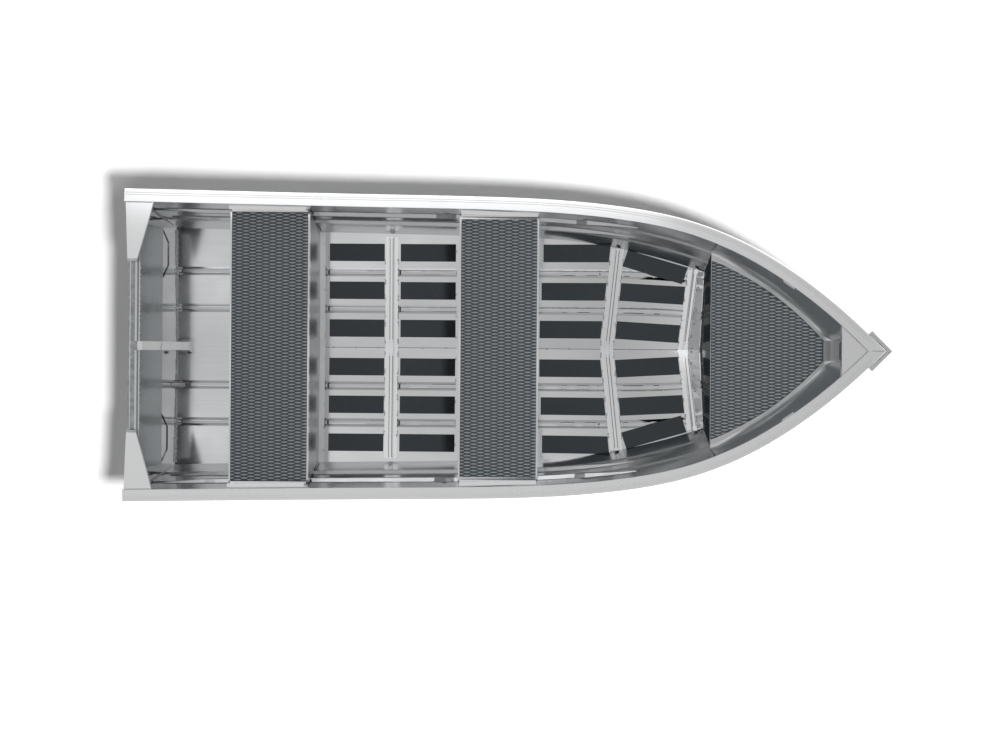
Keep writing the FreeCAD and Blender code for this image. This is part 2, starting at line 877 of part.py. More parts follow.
bow_top = "(sizes.bow_rise_share * sizes.stern_height)"
hook_top = "(%s - sizes.breasthook_drop)" % bow_top
hook_back = along("breasthook_back")
hook_profile = [
    (hook_back, "%s - sizes.breasthook_flange" % hook_top),
    ("%s + sizes.breasthook_plate" % hook_back, "%s - sizes.breasthook_flange" % hook_top),
    ("%s + sizes.breasthook_plate" % hook_back, "%s - sizes.breasthook_plate" % hook_top),
    ("%s + sizes.breasthook_reach" % hook_back, "%s - sizes.breasthook_plate" % hook_top),
    ("%s + sizes.breasthook_reach" % hook_back, hook_top),
    (hook_back, hook_top),
]
hook = drawn_body("breasthook_blank", "XZ_Plane", [hook_profile], "sizes.breasthook_width", middle=True)
hook = combined("breasthook_half", "Part::Cut", hook, gunwale_room)
nodes.append(combined("breasthook", "Part::Cut", hook, mirror_of("gunwale_room_starboard", gunwale_room)))

# Keel bar along the bottom and stem bar up the bow, both cut to the sheets that they cover


def bar_rings(path, width, depth, inward, taper):
    """Sections of a bar along a line in the middle plane, its outer face narrower than its inner."""
    rings = []
    for i, spot in enumerate(path):
        before = path[max(i - 1, 0)]
        after = path[min(i + 1, len(path) - 1)]
        forward = Vector(after.x - before.x, 0, after.z - before.z).normalize()
        outwards = Vector(forward.z, 0, -forward.x)
        rings.append(
            [
                spot - outwards * inward + Vector(0, -width / 2, 0),
                spot + outwards * depth + Vector(0, taper - width / 2, 0),
                spot + outwards * depth + Vector(0, width / 2 - taper, 0),
                spot - outwards * inward + Vector(0, width / 2, 0),
            ]
        )
    return rings


def add_bar(name, path, rings, taken_off):
    lengths = [0.0]
    for first, second in zip(path, path[1:]):
        lengths.append(lengths[-1] + (second - first).Length)
    run = add_shape(name + "_run", skin_solid(rings, raked=False, knots=lengths))
    for i, tool in enumerate(taken_off):
        label = name if i == len(taken_off) - 1 else name + "_part"
        run = combined(label, "Part::Cut", run, tool)
    nodes.append(run)


stem_head = Vector(sheer_line[-1].x, 0, sheer_line[-1].z)
bar_path = [on_transom(keel_line[0])] + keel_line[1:] + [(keel_line[-1] + stem_head) / 2, stem_head]
bar_sections = bar_rings(
    bar_path, size("keel_width"), size("keel_depth"), size("keel_depth"), size("keel_taper")
)
stem_start = size("stem_start_share") * size("length_overall")
split = next(j for j, point in enumerate(keel_line) if point.x > stem_start)
over_stem = add_block(
    "over_stem",
    along("stem_start"),
    "sizes.length_overall",
    "-sizes.overrun",
    "sizes.overrun",
    "%s - sizes.stem_drop" % bow_top,
    "sizes.length_overall",
)
add_bar("keel_bar", bar_path[: split + 1], bar_sections[: split + 1], [hull_clear])
add_bar("stem_bar", bar_path[split:], bar_sections[split:], [hull_clear, over_stem])

# Guard: a folded plate round the nose, below the tops of the gunwales

guard_nose = "(sizes.length_overall / 2)"
guard_back = "%s - sizes.guard_leg" % guard_nose
inner_nose = "(%s - sizes.guard_width * sqrt(2))" % guard_nose
guard_outline = [
    (guard_nose, "0"),
    (guard_back, "sizes.guard_leg"),
    ("%s - sizes.guard_width / sqrt(2)" % guard_back, "sizes.guard_leg - sizes.guard_width / sqrt(2)"),
    (inner_nose, "0"),
    ("%s - sizes.guard_width / sqrt(2)" % guard_back, "-sizes.guard_leg + sizes.guard_width / sqrt(2)"),
    (guard_back, "-sizes.guard_leg"),
]
guard = drawn_body("bow_guard_blank", "XY_Plane", [guard_outline], "sizes.guard_height")
guard.setExpression("Placement.Base.z", "%s - sizes.guard_drop" % bow_top)
bead_room = sheer_space("bead_room", -over, bead + gap, -size("gunwale_bead_drop") - gap, over)
guard = combined("bow_guard_half", "Part::Cut", guard, bead_room)
nodes.append(combined("bow_guard", "Part::Cut", guard, mirror_of("bead_room_starboard", bead_room)))

# Transom: the sheet, the motor board with its clamp plates, the knees, the post and the drain


transom_foot = along("transom_foot")


def rake_to_transom(body, forward, across_place="0", height="0", turn=0):
    """Puts a body in the frame of the transom: its X square to the sheet, its Z up the sheet."""
    angle = turn - size("transom_rake_angle")
    body.Placement = Placement(Vector(0, 0, 0), Rotation(Vector(0, 1, 0), angle))
    rise = "(%s) * cos(sizes.transom_rake_angle)" % height
    lean = "(%s) * sin(sizes.transom_rake_angle)" % height
    reach = "(%s) * cos(sizes.transom_rake_angle)" % forward
    body.setExpression("Placement.Base.x", "-%s + %s - %s" % (transom_foot, reach, lean))
    body.setExpression("Placement.Base.y", across_place)
    body.setExpression(
        "Placement.Base.z", "sizes.keel_depth + (%s) * sin(sizes.transom_rake_angle) + %s" % (forward, rise)
    )
    return body


half_outline = bottom_outline(station_share[0], 0) + side_outline(station_share[0], 0)[1:]
half_outline[-1].z -= gap
cut_edge = size("transom_cut_share") * half_beam
cut_level = size("stern_height") - size("transom_cut_depth")
half_outline.append(Vector(0, cut_edge, size("stern_height") - gap))
half_outline.append(Vector(0, cut_edge, cut_level))
outline = half_outline + [mirrored(point) for point in half_outline[::-1][:-1]]
outline = [on_transom(point) for point in outline]
transom_out = Vector(-math.cos(rake), 0, -math.sin(rake))
transom = Part.Face(Part.makePolygon(outline + [outline[0]])).extrude(transom_out * size("transom_plate"))
tray_beam_share = [0.457, 0.548, 0.709, 0.792, 0.792, 0.709, 0.548, 0.457]
tray_level_share = [0.321, 0.2, 0.2, 0.321, 0.44, 0.561, 0.561, 0.44]


def tray_solid(inset, start):
    """Pressed tray on the port side of the transom, its floor smaller than its rim by the slope."""
    corners = [
        on_transom(Vector(0, beam * half_beam, level * size("stern_height")))
        for beam, level in zip(tray_beam_share, tray_level_share)
    ]
    centre = sum(corners, Vector()) / len(corners)
    wires = []
    for depth, shrink in ((start, inset), (start + size("tray_depth"), inset + size("tray_slope"))):
        ring = [
            corner + (centre - corner).normalize() * shrink + transom_out * depth for corner in corners
        ]
        wires.append(Part.makePolygon(ring + [ring[0]]))
    return Part.makeLoft(wires, True, True)


tray_over = tray_solid(0, size("transom_plate"))
tray_under = tray_solid(size("transom_plate"), 0)
for tray in (tray_over, mirror_shape(tray_over)):
    transom = transom.fuse(tray)
for tray in (tray_under, mirror_shape(tray_under)):
    transom = transom.cut(tray)
transom = add_shape("transom_plain", transom.removeSplitter())
drain_height = "((sizes.drain_level - sizes.keel_depth) / cos(sizes.transom_rake_angle))"
drain_hole = doc.addObject("Part::Cylinder", "drain_hole")
drain_hole.setExpression("Radius", "sizes.drain_radius + sizes.seat_gap")
drain_hole.setExpression("Height", "sizes.drain_length")
drain_offset = "-%s" % beside("inner_strake")
rake_to_transom(drain_hole, "-sizes.drain_length / 2", drain_offset, drain_height, turn=90)
nodes.append(combined("transom", "Part::Cut", transom, drain_hole))

cut_top = "(sizes.stern_height - sizes.transom_cut_depth)"
board_top = "((%s - sizes.keel_depth) / cos(sizes.transom_rake_angle))" % cut_top
half_cut = beside("transom_cut")


def add_transom_plate(name, thickness, forward, outlines, backward=False):
    body = drawn_body(name, "YZ_Plane", outlines, thickness, backward=backward)
    nodes.append(rake_to_transom(body, forward))


board_bottom = "%s - sizes.board_height" % board_top
board_half = beside("board_half")
board = rectangle("-" + board_half, board_bottom, board_half, board_top)
add_transom_plate("motor_board", "sizes.board_thickness", "0", [board])

# the clamp plate lies on the board on both sides of the post, with a lip over the board's top
clamp_top = "(%s + sizes.clamp_lip_rise)" % board_top
clamp_face = "(sizes.board_thickness + sizes.clamp_plate)"
groove_front = "(sizes.board_thickness + sizes.clamp_wall + sizes.clamp_groove)"
groove_back = "(sizes.board_thickness + sizes.clamp_wall)"
groove_floor = "(%s - sizes.clamp_groove_depth)" % clamp_top
clamp_profile = [
    ("sizes.board_thickness", board_bottom),
    (clamp_face, board_bottom),
    (clamp_face, clamp_top),
    (groove_front, clamp_top),
    (groove_front, groove_floor),
    (groove_back, groove_floor),
    (groove_back, clamp_top),
    ("sizes.board_thickness - sizes.clamp_lip", clamp_top),
    ("sizes.board_thickness - sizes.clamp_lip", "%s + sizes.seat_gap" % board_top),
    ("sizes.board_thickness", "%s + sizes.seat_gap" % board_top),
]
clamp_width = "2 * %s" % board_half
clamp = drawn_body("clamp_whole", "XZ_Plane", [clamp_profile], clamp_width, middle=True)
rake_to_transom(clamp, "0")
beside_post = "(sizes.post_width / 2 + sizes.seat_gap)"
post_room = add_block(
    "post_room",
    "-sizes.length_overall",
    "sizes.length_overall",
    "-" + beside_post,
    beside_post,
    "0",
    "sizes.length_overall",
)
nodes.append(combined("inner_clamp_plate", "Part::Cut", clamp, post_room))

half_pad = "(sizes.outer_pad_width / 2)"
pad = rectangle("-" + half_pad, "%s - sizes.outer_pad_height" % board_top, half_pad, board_top)
pad_thickness = "sizes.outer_pad_thickness"
add_transom_plate("outer_clamp_pad", pad_thickness, "-sizes.transom_plate", [pad], backward=True)


def in_front(distance, height):
    """X of a plane parallel to the transom, this far in front of it, at a height."""
    lean = "(%s - sizes.keel_depth) * tan(sizes.transom_rake_angle)" % height
    return "(-%s - %s + (%s) / cos(sizes.transom_rake_angle))" % (transom_foot, lean, distance)


board_low = "(%s - sizes.board_height * cos(sizes.transom_rake_angle))" % cut_top
post_top = "(%s - sizes.seat_gap)" % cut_top
board_face = "(sizes.board_thickness + sizes.seat_gap)"
post_face = "(sizes.board_thickness + sizes.clamp_plate + sizes.post_head)"
step_level = "(%s - sizes.post_step)" % board_low
post_profile = [
    (in_front(board_face, post_top), post_top),
    (in_front(post_face, post_top), post_top),
    ("-%s + sizes.post_foot" % transom_foot, "0"),
    (in_front("sizes.seat_gap", "0"), "0"),
    (in_front("sizes.seat_gap", step_level), step_level),
    (in_front(board_face, step_level), step_level),
]
post = drawn_body("transom_post_blank", "XZ_Plane", [post_profile], "sizes.post_width", middle=True)
nodes.append(inside("transom_post", post, hull_inside))
keelson_back = "-%s + sizes.post_foot + sizes.seat_gap" % transom_foot
keelson_front = "%s - sizes.strip_clearance" % aft_bench_toes[0]
keelson = rectangle(keelson_back, "-sizes.post_width / 2", keelson_front, "sizes.post_width / 2")
keelson = drawn_body("keelson_blank", "XY_Plane", [keelson], "sizes.foot_rise")
nodes.append(on_floor("aft_keelson", keelson, above_flanges))

knee_back = "(sizes.knee_setback - sizes.length_overall / 2)"
knee_inner = "(%s + sizes.knee_slant)" % knee_back
knee_tip = "(%s + sizes.knee_end)" % knee_inner
knee_front = "(%s + sizes.knee_reach)" % knee_back
knee_edge = "(sizes.beam_overall / 2 - sizes.gunwale_width)"
knee_outline = [
    (knee_back, "sizes.beam_overall / 2"),
    (knee_inner, half_cut),
    (knee_tip, half_cut),
    (knee_front, knee_edge),
    (knee_front, "sizes.beam_overall / 2"),
]
knee = drawn_body("knee_blank", "XY_Plane", [knee_outline], "sizes.knee_plate")
knee.setExpression("Placement.Base.z", "sizes.stern_height")
flange_outline = [
    ("%s - sizes.knee_plate" % knee_tip, half_cut),
    (knee_tip, half_cut),
    (knee_front, knee_edge),
    ("%s - sizes.knee_plate" % knee_front, knee_edge),
]
knee_lip = drawn_body("knee_lip", "XY_Plane", [flange_outline], "sizes.knee_flange + sizes.knee_plate")
knee_lip.setExpression("Placement.Base.z", "sizes.stern_height - sizes.knee_flange")
knee = combined("knee_with_lip", "Part::Fuse", knee, knee_lip)
knee_port = combined("corner_knee_port", "Part::Cut", knee, gunwale_room)
nodes.append(knee_port)
nodes.append(mirror_of("corner_knee_starboard", knee_port))

drain = doc.addObject("PartDesign::Body", "drain_tube")
drain.Label = "drain_tube"
drain_sketch = drain.newObject("Sketcher::SketchObject", "drain_outline")
drain_plane = [part for part in drain.Origin.OriginFeatures if part.Role == "XZ_Plane"]
drain_sketch.AttachmentSupport = [(drain_plane[0], "")]
drain_sketch.MapMode = "FlatFace"
draw_outline(
    drain_sketch,
    [
        ("-sizes.drain_flange", "sizes.drain_bore_radius"),
        ("sizes.drain_length", "sizes.drain_bore_radius"),
        ("sizes.drain_length", "sizes.drain_radius"),
        ("0", "sizes.drain_radius"),
        ("0", "sizes.drain_flange_radius"),
        ("-sizes.drain_flange", "sizes.drain_flange_radius"),
    ],
)
drain_turn = drain.newObject("PartDesign::Revolution", "drain_turn")
drain_turn.Profile = drain_sketch
drain_turn.ReferenceAxis = (drain_sketch, ["H_Axis"])
drain_turn.Angle = 360
drain.Tip = drain_turn
rake_to_transom(drain, "-sizes.transom_plate", drain_offset, drain_height)
nodes.append(drain)

# Check every object and write one file for each sub-part

doc.recompute()
failed = [item.Name for item in doc.Objects if "Invalid" in item.State or "Error" in item.State]
if failed:
    raise RuntimeError("objects that failed: " + ", ".join(failed))
for node in nodes:
    if node.Shape.isNull() or not node.Shape.isValid():
        raise RuntimeError("no valid shape: " + node.Label)
os.makedirs("parts", exist_ok=True)
for node in nodes:
    node.Shape.exportStep("parts/%s.step" % node.Label)
print("%d sub-parts written" % len(nodes))
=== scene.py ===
import bpy
import json
import math
import random
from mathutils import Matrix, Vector
from mathutils.bvhtree import BVHTree


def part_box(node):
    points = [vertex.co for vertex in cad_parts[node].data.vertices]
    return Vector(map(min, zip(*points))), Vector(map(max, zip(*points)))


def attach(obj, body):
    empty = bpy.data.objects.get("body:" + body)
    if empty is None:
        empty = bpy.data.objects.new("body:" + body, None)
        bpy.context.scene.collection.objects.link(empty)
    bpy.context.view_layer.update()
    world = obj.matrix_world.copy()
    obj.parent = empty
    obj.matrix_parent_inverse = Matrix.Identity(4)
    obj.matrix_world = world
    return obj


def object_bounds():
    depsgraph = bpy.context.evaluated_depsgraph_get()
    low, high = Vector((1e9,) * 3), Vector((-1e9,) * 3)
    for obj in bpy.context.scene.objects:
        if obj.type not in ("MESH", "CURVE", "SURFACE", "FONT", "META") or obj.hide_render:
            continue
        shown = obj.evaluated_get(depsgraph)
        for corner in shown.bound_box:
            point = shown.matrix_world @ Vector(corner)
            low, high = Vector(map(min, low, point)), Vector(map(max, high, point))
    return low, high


# Open aluminium rowing boat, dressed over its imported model. Metres, +X to the bow, +Y to port.

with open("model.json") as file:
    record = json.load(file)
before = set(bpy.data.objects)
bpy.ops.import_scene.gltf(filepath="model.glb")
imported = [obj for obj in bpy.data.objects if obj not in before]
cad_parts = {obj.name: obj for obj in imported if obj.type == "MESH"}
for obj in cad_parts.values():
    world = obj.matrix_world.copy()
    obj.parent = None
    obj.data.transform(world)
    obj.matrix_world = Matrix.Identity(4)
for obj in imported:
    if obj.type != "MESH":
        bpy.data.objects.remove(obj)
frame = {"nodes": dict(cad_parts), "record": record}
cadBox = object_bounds()
nodes = frame["nodes"]
mm = 0.001
random.seed(7)


def linearColor(hexText):
    values = [int(hexText[i:i + 2], 16) / 255 for i in (1, 3, 5)]
    return tuple(v / 12.92 if v <= 0.04045 else ((v + 0.055) / 1.055) ** 2.4 for v in values) + (1.0,)


# sets a node's sockets; a link comes from a socket, or from a node's first output
def setSockets(tree, node, values={}, links={}):
    for name, value in values.items():
        node.inputs[name].default_value = value
    for name, source in links.items():
        output = source.outputs[0] if isinstance(source, bpy.types.Node) else source
        tree.links.new(output, node.inputs[name])


# one function adds a shader node with its settings, values and links
def addNode(tree, kind, settings={}, values={}, links={}):
    node = tree.nodes.new("ShaderNode" + kind)
    for name, value in settings.items():
        setattr(node, name, value)
    setSockets(tree, node, values, links)
    return node


def newMaterial(name, kind="BsdfPrincipled"):
    material = bpy.data.materials.new(name)
    material.use_nodes = True
    tree = material.node_tree
    tree.nodes.clear()
    shader = addNode(tree, kind)
    addNode(tree, "OutputMaterial", links={"Surface": shader})
    return material, tree, shader


# Sheet aluminium, cold rolled and left bright: nearly a mirror, with faint streaks along the rolling
# direction and cloudy handling marks, so the eye gets soft images of ribs and strips in the sheet.
rolledSheet = {
    "color": "#dfe0e1",
    "streakColor": "#d3d5d6",
    "roughness": 0.12,
    "roughnessSpread": 0.06,
    "streakWidth": 5.0 * mm,
    "streakLength": 600 * mm,
    "streakDetail": 3.0,
    "cloudSize": 130 * mm,
    "cloudDetail": 4.0,
    "cloudRange": (0.3, 0.7),
    "bumpHeight": 0.004 * mm,
    "bumpStrength": 0.3,
    "normalTurn": (0, 0, 0),
}


def makeSheetMetal(name, look, alongY=False):
    material, tree, shader = newMaterial(name)
    coords = addNode(tree, "TexCoord")
    across = 1 / look["streakWidth"]
    along = 1 / look["streakLength"]
    scale = (across, along, across) if alongY else (along, across, across)
    grid = coords.outputs["Object"]
    stretched = addNode(tree, "Mapping", values={"Scale": scale}, links={"Vector": grid})
    streaks = addNode(
        tree, "TexNoise", values={"Scale": 1.0, "Detail": look["streakDetail"]}, links={"Vector": stretched}
    )
    clouds = addNode(
        tree, "TexNoise", values={"Scale": 1 / look["cloudSize"], "Detail": look["cloudDetail"]},
        links={"Vector": grid},
    )
    tint = addNode(
        tree, "Mix", {"data_type": "RGBA"},
        values={6: linearColor(look["streakColor"]), 7: linearColor(look["color"])},
        links={0: streaks},
    )
    low = look["roughness"] - look["roughnessSpread"] / 2
    high = look["roughness"] + look["roughnessSpread"] / 2
    thin, thick = look["cloudRange"]
    rough = addNode(
        tree, "MapRange",
        values={"From Min": thin, "From Max": thick, "To Min": low, "To Max": high},
        links={"Value": clouds},
    )
    surface = addNode(tree, "NewGeometry")
    turned = addNode(
        tree, "VectorMath", {"operation": "ADD"}, values={1: look["normalTurn"]},
        links={0: surface.outputs["Normal"]},
    )
    turned = addNode(tree, "VectorMath", {"operation": "NORMALIZE"}, links={0: turned})
    bump = addNode(
        tree, "Bump", values={"Strength": look["bumpStrength"], "Distance": look["bumpHeight"]},
        links={"Height": streaks, "Normal": turned},
    )
    links = {"Base Color": tint.outputs[2], "Roughness": rough, "Normal": bump}
    setSockets(tree, shader, {"Metallic": 1.0}, links)
    return material


sheetMetal = makeSheetMetal("rolledAluminiumSheet", rolledSheet)
crossSheetMetal = makeSheetMetal("rolledAluminiumSheetAcross", rolledSheet, alongY=True)
# Side sheets and the bow's lining sheets, rubbed by hands and boots: softer images than in the floor.
sideMetal = makeSheetMetal("pressedAluminiumSide", dict(rolledSheet, roughness=0.21))
linerMetal = makeSheetMetal("rolledAluminiumLining", dict(rolledSheet, roughness=0.30))

# Folded front panels of the aft bench (scuffed, so blurred) and of the bow deck (sharper, and darker
# by painted shade: the bow panel's sheet colour is darkened for the dark reflection it shows).
# They stay flat, but shade as if turned up by about 6 and 18 degrees. They then mirror the part of the
# studio that the photo shows in them.
foldedLook = dict(rolledSheet, roughness=0.36, roughnessSpread=0.04, normalTurn=(0.14, 0, 0.13))
foldedMetal = makeSheetMetal("foldedAluminiumSheet", foldedLook, alongY=True)
# painted shade: the bow panel's sheet colour is darker than the rolled sheet's
bowShadedFoldedLook = dict(
    foldedLook, color="#a2a4a6", streakColor="#989a9c", roughness=0.10, normalTurn=(0, 0, 0.33)
)
bowShadedFoldedMetal = makeSheetMetal("foldedAluminiumSheetBowPaintedShade", bowShadedFoldedLook, alongY=True)

# Sheet with an oxide film from standing water and exhaust: greyer and a little blurred. The channels
# have it along the boat. The foot of the deck's panel has it too, darkened further by painted shade
# for the shade under the panel.
dulledLook = dict(rolledSheet, color="#cdcfd0", streakColor="#bfc1c2", roughness=0.20)
dulledMetal = makeSheetMetal("oxidisedAluminiumSheet", dulledLook, alongY=True)
channelMetal = makeSheetMetal("oxidisedAluminiumChannel", dulledLook)
footShadeLook = dict(dulledLook, color="#aeb0b2", streakColor="#a2a4a6")
footShadedMetal = makeSheetMetal("oxidisedAluminiumFootPaintedShade", footShadeLook)

# Bar bent from the flat and scuffed: pale and blurred. It shades as if turned up by about 55 degrees,
# so it mirrors the light overhead, which the photo shows in it.
postLook = dict(
    rolledSheet, color="#f1f2f2", streakColor="#e6e7e8", roughness=0.40, normalTurn=(0, 0, 2.0)
)
postMetal = makeSheetMetal("bentAluminiumBar", postLook)

# Extruded aluminium, etched to a satin: brighter and more even than the sheet. Deck, knees and
# breasthook are as pale as the gunwales and have it too. Ribs and bench lips are a little sharper.
extrusionLook = dict(
    rolledSheet, color="#f5f5f6", streakColor="#eff0f1", roughness=0.26, roughnessSpread=0.04,
    bumpHeight=0.001 * mm,
)
extrusionMetal = makeSheetMetal("extrudedAluminiumSatin", extrusionLook)
ribMetal = makeSheetMetal("pressedAluminiumSatin", dict(extrusionLook, roughness=0.18), alongY=True)

# Weld metal, aluminium as it froze: small bright grains.
weldLook = {"color": "#e2e3e4", "roughness": 0.42}
# Rivets, bolts and turned tube, plain machined metal: small sharp lights.
fastenerLook = {"color": "#c9cbcc", "roughness": 0.25}


def makePlainMetal(name, look):
    material, tree, shader = newMaterial(name)
    values = {"Base Color": linearColor(look["color"]), "Metallic": 1.0, "Roughness": look["roughness"]}
    setSockets(tree, shader, values)
    return material


weldMetal = makePlainMetal("aluminiumWeldBead", weldLook)
fastenerMetal = makePlainMetal("aluminiumFastener", fastenerLook)

# EVA foam sheet, moulded: matt and dark between the lozenges.
foamLook = {
    "color": "#292d30", "worn": "#34383b", "roughness": 0.8, "grainSize": 1.5 * mm, "bumpHeight": 0.15 * mm,
}
# Grit tape, coated with crushed mineral: matt near-black with a faint sparkle. Its grain is drawn
# coarser than the real 0.5 mm, which the picture could not show.
gritLook = {
    "color": "#212528", "worn": "#2f3336", "roughness": 0.85, "grainSize": 2.5 * mm, "bumpHeight": 0.4 * mm,
}
# Polyethylene board, sawn from sheet: dull dark grey with cloudy scuffs.
boardLook = {
    "color": "#6a6d70", "worn": "#85888b", "roughness": 0.5, "grainSize": 22 * mm, "bumpHeight": 0.2 * mm,
}
# Polyurethane sealant, run along a joint by hand: black and slightly shiny, in the keel seam and the
# bung. The same black also draws painted reflection in the dark lines along the ribs' crowns, and
# painted shade at the channels' ends and in the gaps beside the aft bench's front panel.
sealantAndShadeLook = {
    "color": "#1d1e20", "worn": "#2a2c2e", "roughness": 0.45, "grainSize": 6 * mm, "bumpHeight": 0.4 * mm,
}
grainLook = {"detail": 2.0, "range": (0.35, 0.7), "bumpStrength": 0.5}


def makeMatt(name, look):
    material, tree, shader = newMaterial(name)
    coords = addNode(tree, "TexCoord")
    grain = addNode(
        tree, "TexNoise", values={"Scale": 1 / look["grainSize"], "Detail": grainLook["detail"]},
        links={"Vector": coords.outputs["Object"]},
    )
    low, high = grainLook["range"]
    spread = addNode(tree, "MapRange", values={"From Min": low, "From Max": high}, links={"Value": grain})
    tint = addNode(
        tree, "Mix", {"data_type": "RGBA"},
        values={6: linearColor(look["color"]), 7: linearColor(look["worn"])},
        links={0: spread},
    )
    bump = addNode(
        tree, "Bump", values={"Strength": grainLook["bumpStrength"], "Distance": look["bumpHeight"]},
        links={"Height": grain},
    )
    links = {"Base Color": tint.outputs[2], "Normal": bump}
    setSockets(tree, shader, {"Roughness": look["roughness"]}, links)
    return material


# The lozenges are the same foam with painted shading: pale on their crowns, which face up to the
# light, and dark at their feet in painted shade. The colour follows how far each face turns up.
shadedFoamLook = {
    "crown": "#74787b", "foot": "#2a2e31", "roughness": 0.7, "flankTilt": 0.86, "crownTilt": 0.995,
}


def makeShadedFoam(name, look):
    material, tree, shader = newMaterial(name)
    surface = addNode(tree, "NewGeometry")
    upright = addNode(tree, "SeparateXYZ", links={"Vector": surface.outputs["Normal"]})
    paintedLight = addNode(
        tree, "MapRange",
        values={"From Min": look["flankTilt"], "From Max": look["crownTilt"]},
        links={"Value": upright.outputs["Z"]},
    )
    tint = addNode(
        tree, "Mix", {"data_type": "RGBA"},
        values={6: linearColor(look["foot"]), 7: linearColor(look["crown"])},
        links={0: paintedLight},
    )
    setSockets(tree, shader, {"Roughness": look["roughness"]}, {"Base Color": tint.outputs[2]})
    return material


foamGround = makeMatt("mouldedEvaFoam", foamLook)
foamCrown = makeShadedFoam("mouldedEvaFoamPaintedShading", shadedFoamLook)
gritTape = makeMatt("mineralGritTape", gritLook)
board = makeMatt("sawnPolyethyleneBoard", boardLook)
sealantAndShade = makeMatt("polyurethaneSealantAndPaintedShade", sealantAndShadeLook)

slotMaterials = {
    "hull_aluminium": sheetMetal,
    "gunwale_aluminium": extrusionMetal,
    "drain_aluminium": fastenerMetal,
    "board_plastic": board,
    "non_slip_mat": foamGround,
    "grip_strip": gritTape,
}
slotOfNode = {part["node"]: part["material_slot"] for part in frame["record"]["subparts"]}
finishes = (
    (foldedMetal, ("aft_bench_front_panel",)),
    (bowShadedFoldedMetal, ("bow_deck_panel",)),
    (extrusionMetal, ("bow_deck", "breasthook", "corner_knee_port", "corner_knee_starboard")),
    (dulledMetal, ("inner_clamp_plate",)),
    (postMetal, ("transom_post",)),
    (sideMetal, ("hull_side_port", "hull_side_starboard")),
    (ribMetal, ("rib_straps", "mid_bay_rib", "forward_bay_rib", "bow_bay_rib")),
    (crossSheetMetal, ("transom", "aft_bench_top", "aft_bench_back_panel")),
    (crossSheetMetal, ("mid_bench_top", "mid_bench_front_panel", "mid_bench_back_panel")),
)
finishOfNode = {name: finish for finish, names in finishes for name in names}
for name, item in nodes.items():
    material = finishOfNode.get(name, slotMaterials[slotOfNode[name]])
    item.data.materials.clear()
    item.data.materials.append(material)
print("stage: materials on", len(nodes), "nodes")


def addPiece(name, verts, faces, material, smooth=True):
    mesh = bpy.data.meshes.new(name)
    mesh.from_pydata([tuple(v) for v in verts], [], faces)
    mesh.materials.append(material)
    for polygon in mesh.polygons:
        polygon.use_smooth = smooth
    mesh.validate()
    piece = bpy.data.objects.new(name, mesh)
    bpy.context.scene.collection.objects.link(piece)
    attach(piece, "root")
    return piece


# quads between neighbouring rows that have the same number of points each
def rowFaces(rowCount, width):
    starts = [width * i + j for i in range(rowCount - 1) for j in range(width - 1)]
    return [(a, a + 1, a + width + 1, a + width) for a in starts]


# quads between rings of points, and a fan from the last ring to the point after it
def ringFaces(start, count, rings):
    faces = []
    last = start + (rings - 1) * count
    for i in range(count):
        j = (i + 1) % count
        for a in range(start, last, count):
            faces.append((a + i, a + j, a + count + j, a + count + i))
        faces.append((last + i, last + j, last + count))
    return faces


def surfaceTree(names, pieces=()):
    verts, faces = [], []
    for mesh in [nodes[name].data for name in names] + [piece.data for piece in pieces]:
        start = len(verts)
        verts += [v.co.copy() for v in mesh.vertices]
        faces += [[start + i for i in polygon.vertices] for polygon in mesh.polygons]
    return BVHTree.FromPolygons(verts, faces)


whole = surfaceTree(list(nodes))
bottomTree = surfaceTree(["hull_bottom_port", "hull_bottom_starboard"])
sideTree = surfaceTree(["hull_side_port"])
gunwaleTree = surfaceTree(["gunwale_port"])
boatSides = ((1, "port"), (-1, "starboard"))
up = Vector((0, 0, 1))
xWay = Vector((1, 0, 0))
yWay = Vector((0, 1, 0))
down = Vector((0, 0, -1))
overBoat = 1.0
scanStep = 1 * mm


# place and upward normal of the highest surface under a point
def dropOnto(tree, x, y):
    place, normal, _, _ = tree.ray_cast(Vector((x, y, overBoat)), down)
    if place is None:
        return None
    return place, (normal if normal.z > 0 else -normal)


# Non-slip mats: the CAD sheet stays as the ground, the lozenges stand on it in staggered columns.
matLook = {
    "columnStep": 33 * mm,
    "rowStep": 16.3 * mm,
    "firstColumn": 0.1,
    "stagger": 0.5,
    "length": 37 * mm,
    "width": 11.5 * mm,
    "height": 1.8 * mm,
    "pinch": 0.35,
    "sides": 12,
    "ringShares": (1.0, 0.72, 0.36),
    "ringHeights": (-0.12, 0.50, 0.90),
    "cutStep": 0.1,
    "cutLeast": 0.3,
    "levelSlack": 0.5 * mm,
    "endTrim": {"aft_bench": 0.0, "mid_bench": 13 * mm, "bow_deck": 0.0},
    "trimHeight": 1.9 * mm,
    "trimSink": 1 * mm,
    "edgeSteps": 40,
    "edgeReach": 5 * mm,
    "edgeInset": 2 * mm,
    "edgeSink": 0.5 * mm,
}


def onTop(tree, x, y, top):
    hit = dropOnto(tree, x, y)
    return hit is not None and abs(hit[0].z - top) < matLook["levelSlack"]


def lozengeOutline(look):
    outline = []
    for i in range(look["sides"]):
        angle = 2 * math.pi * i / look["sides"]
        along = math.cos(angle)
        across = math.sin(angle) * look["width"] / 2 * (1 - look["pinch"] * along ** 2)
        outline.append((along * look["length"] / 2, across))
    return outline


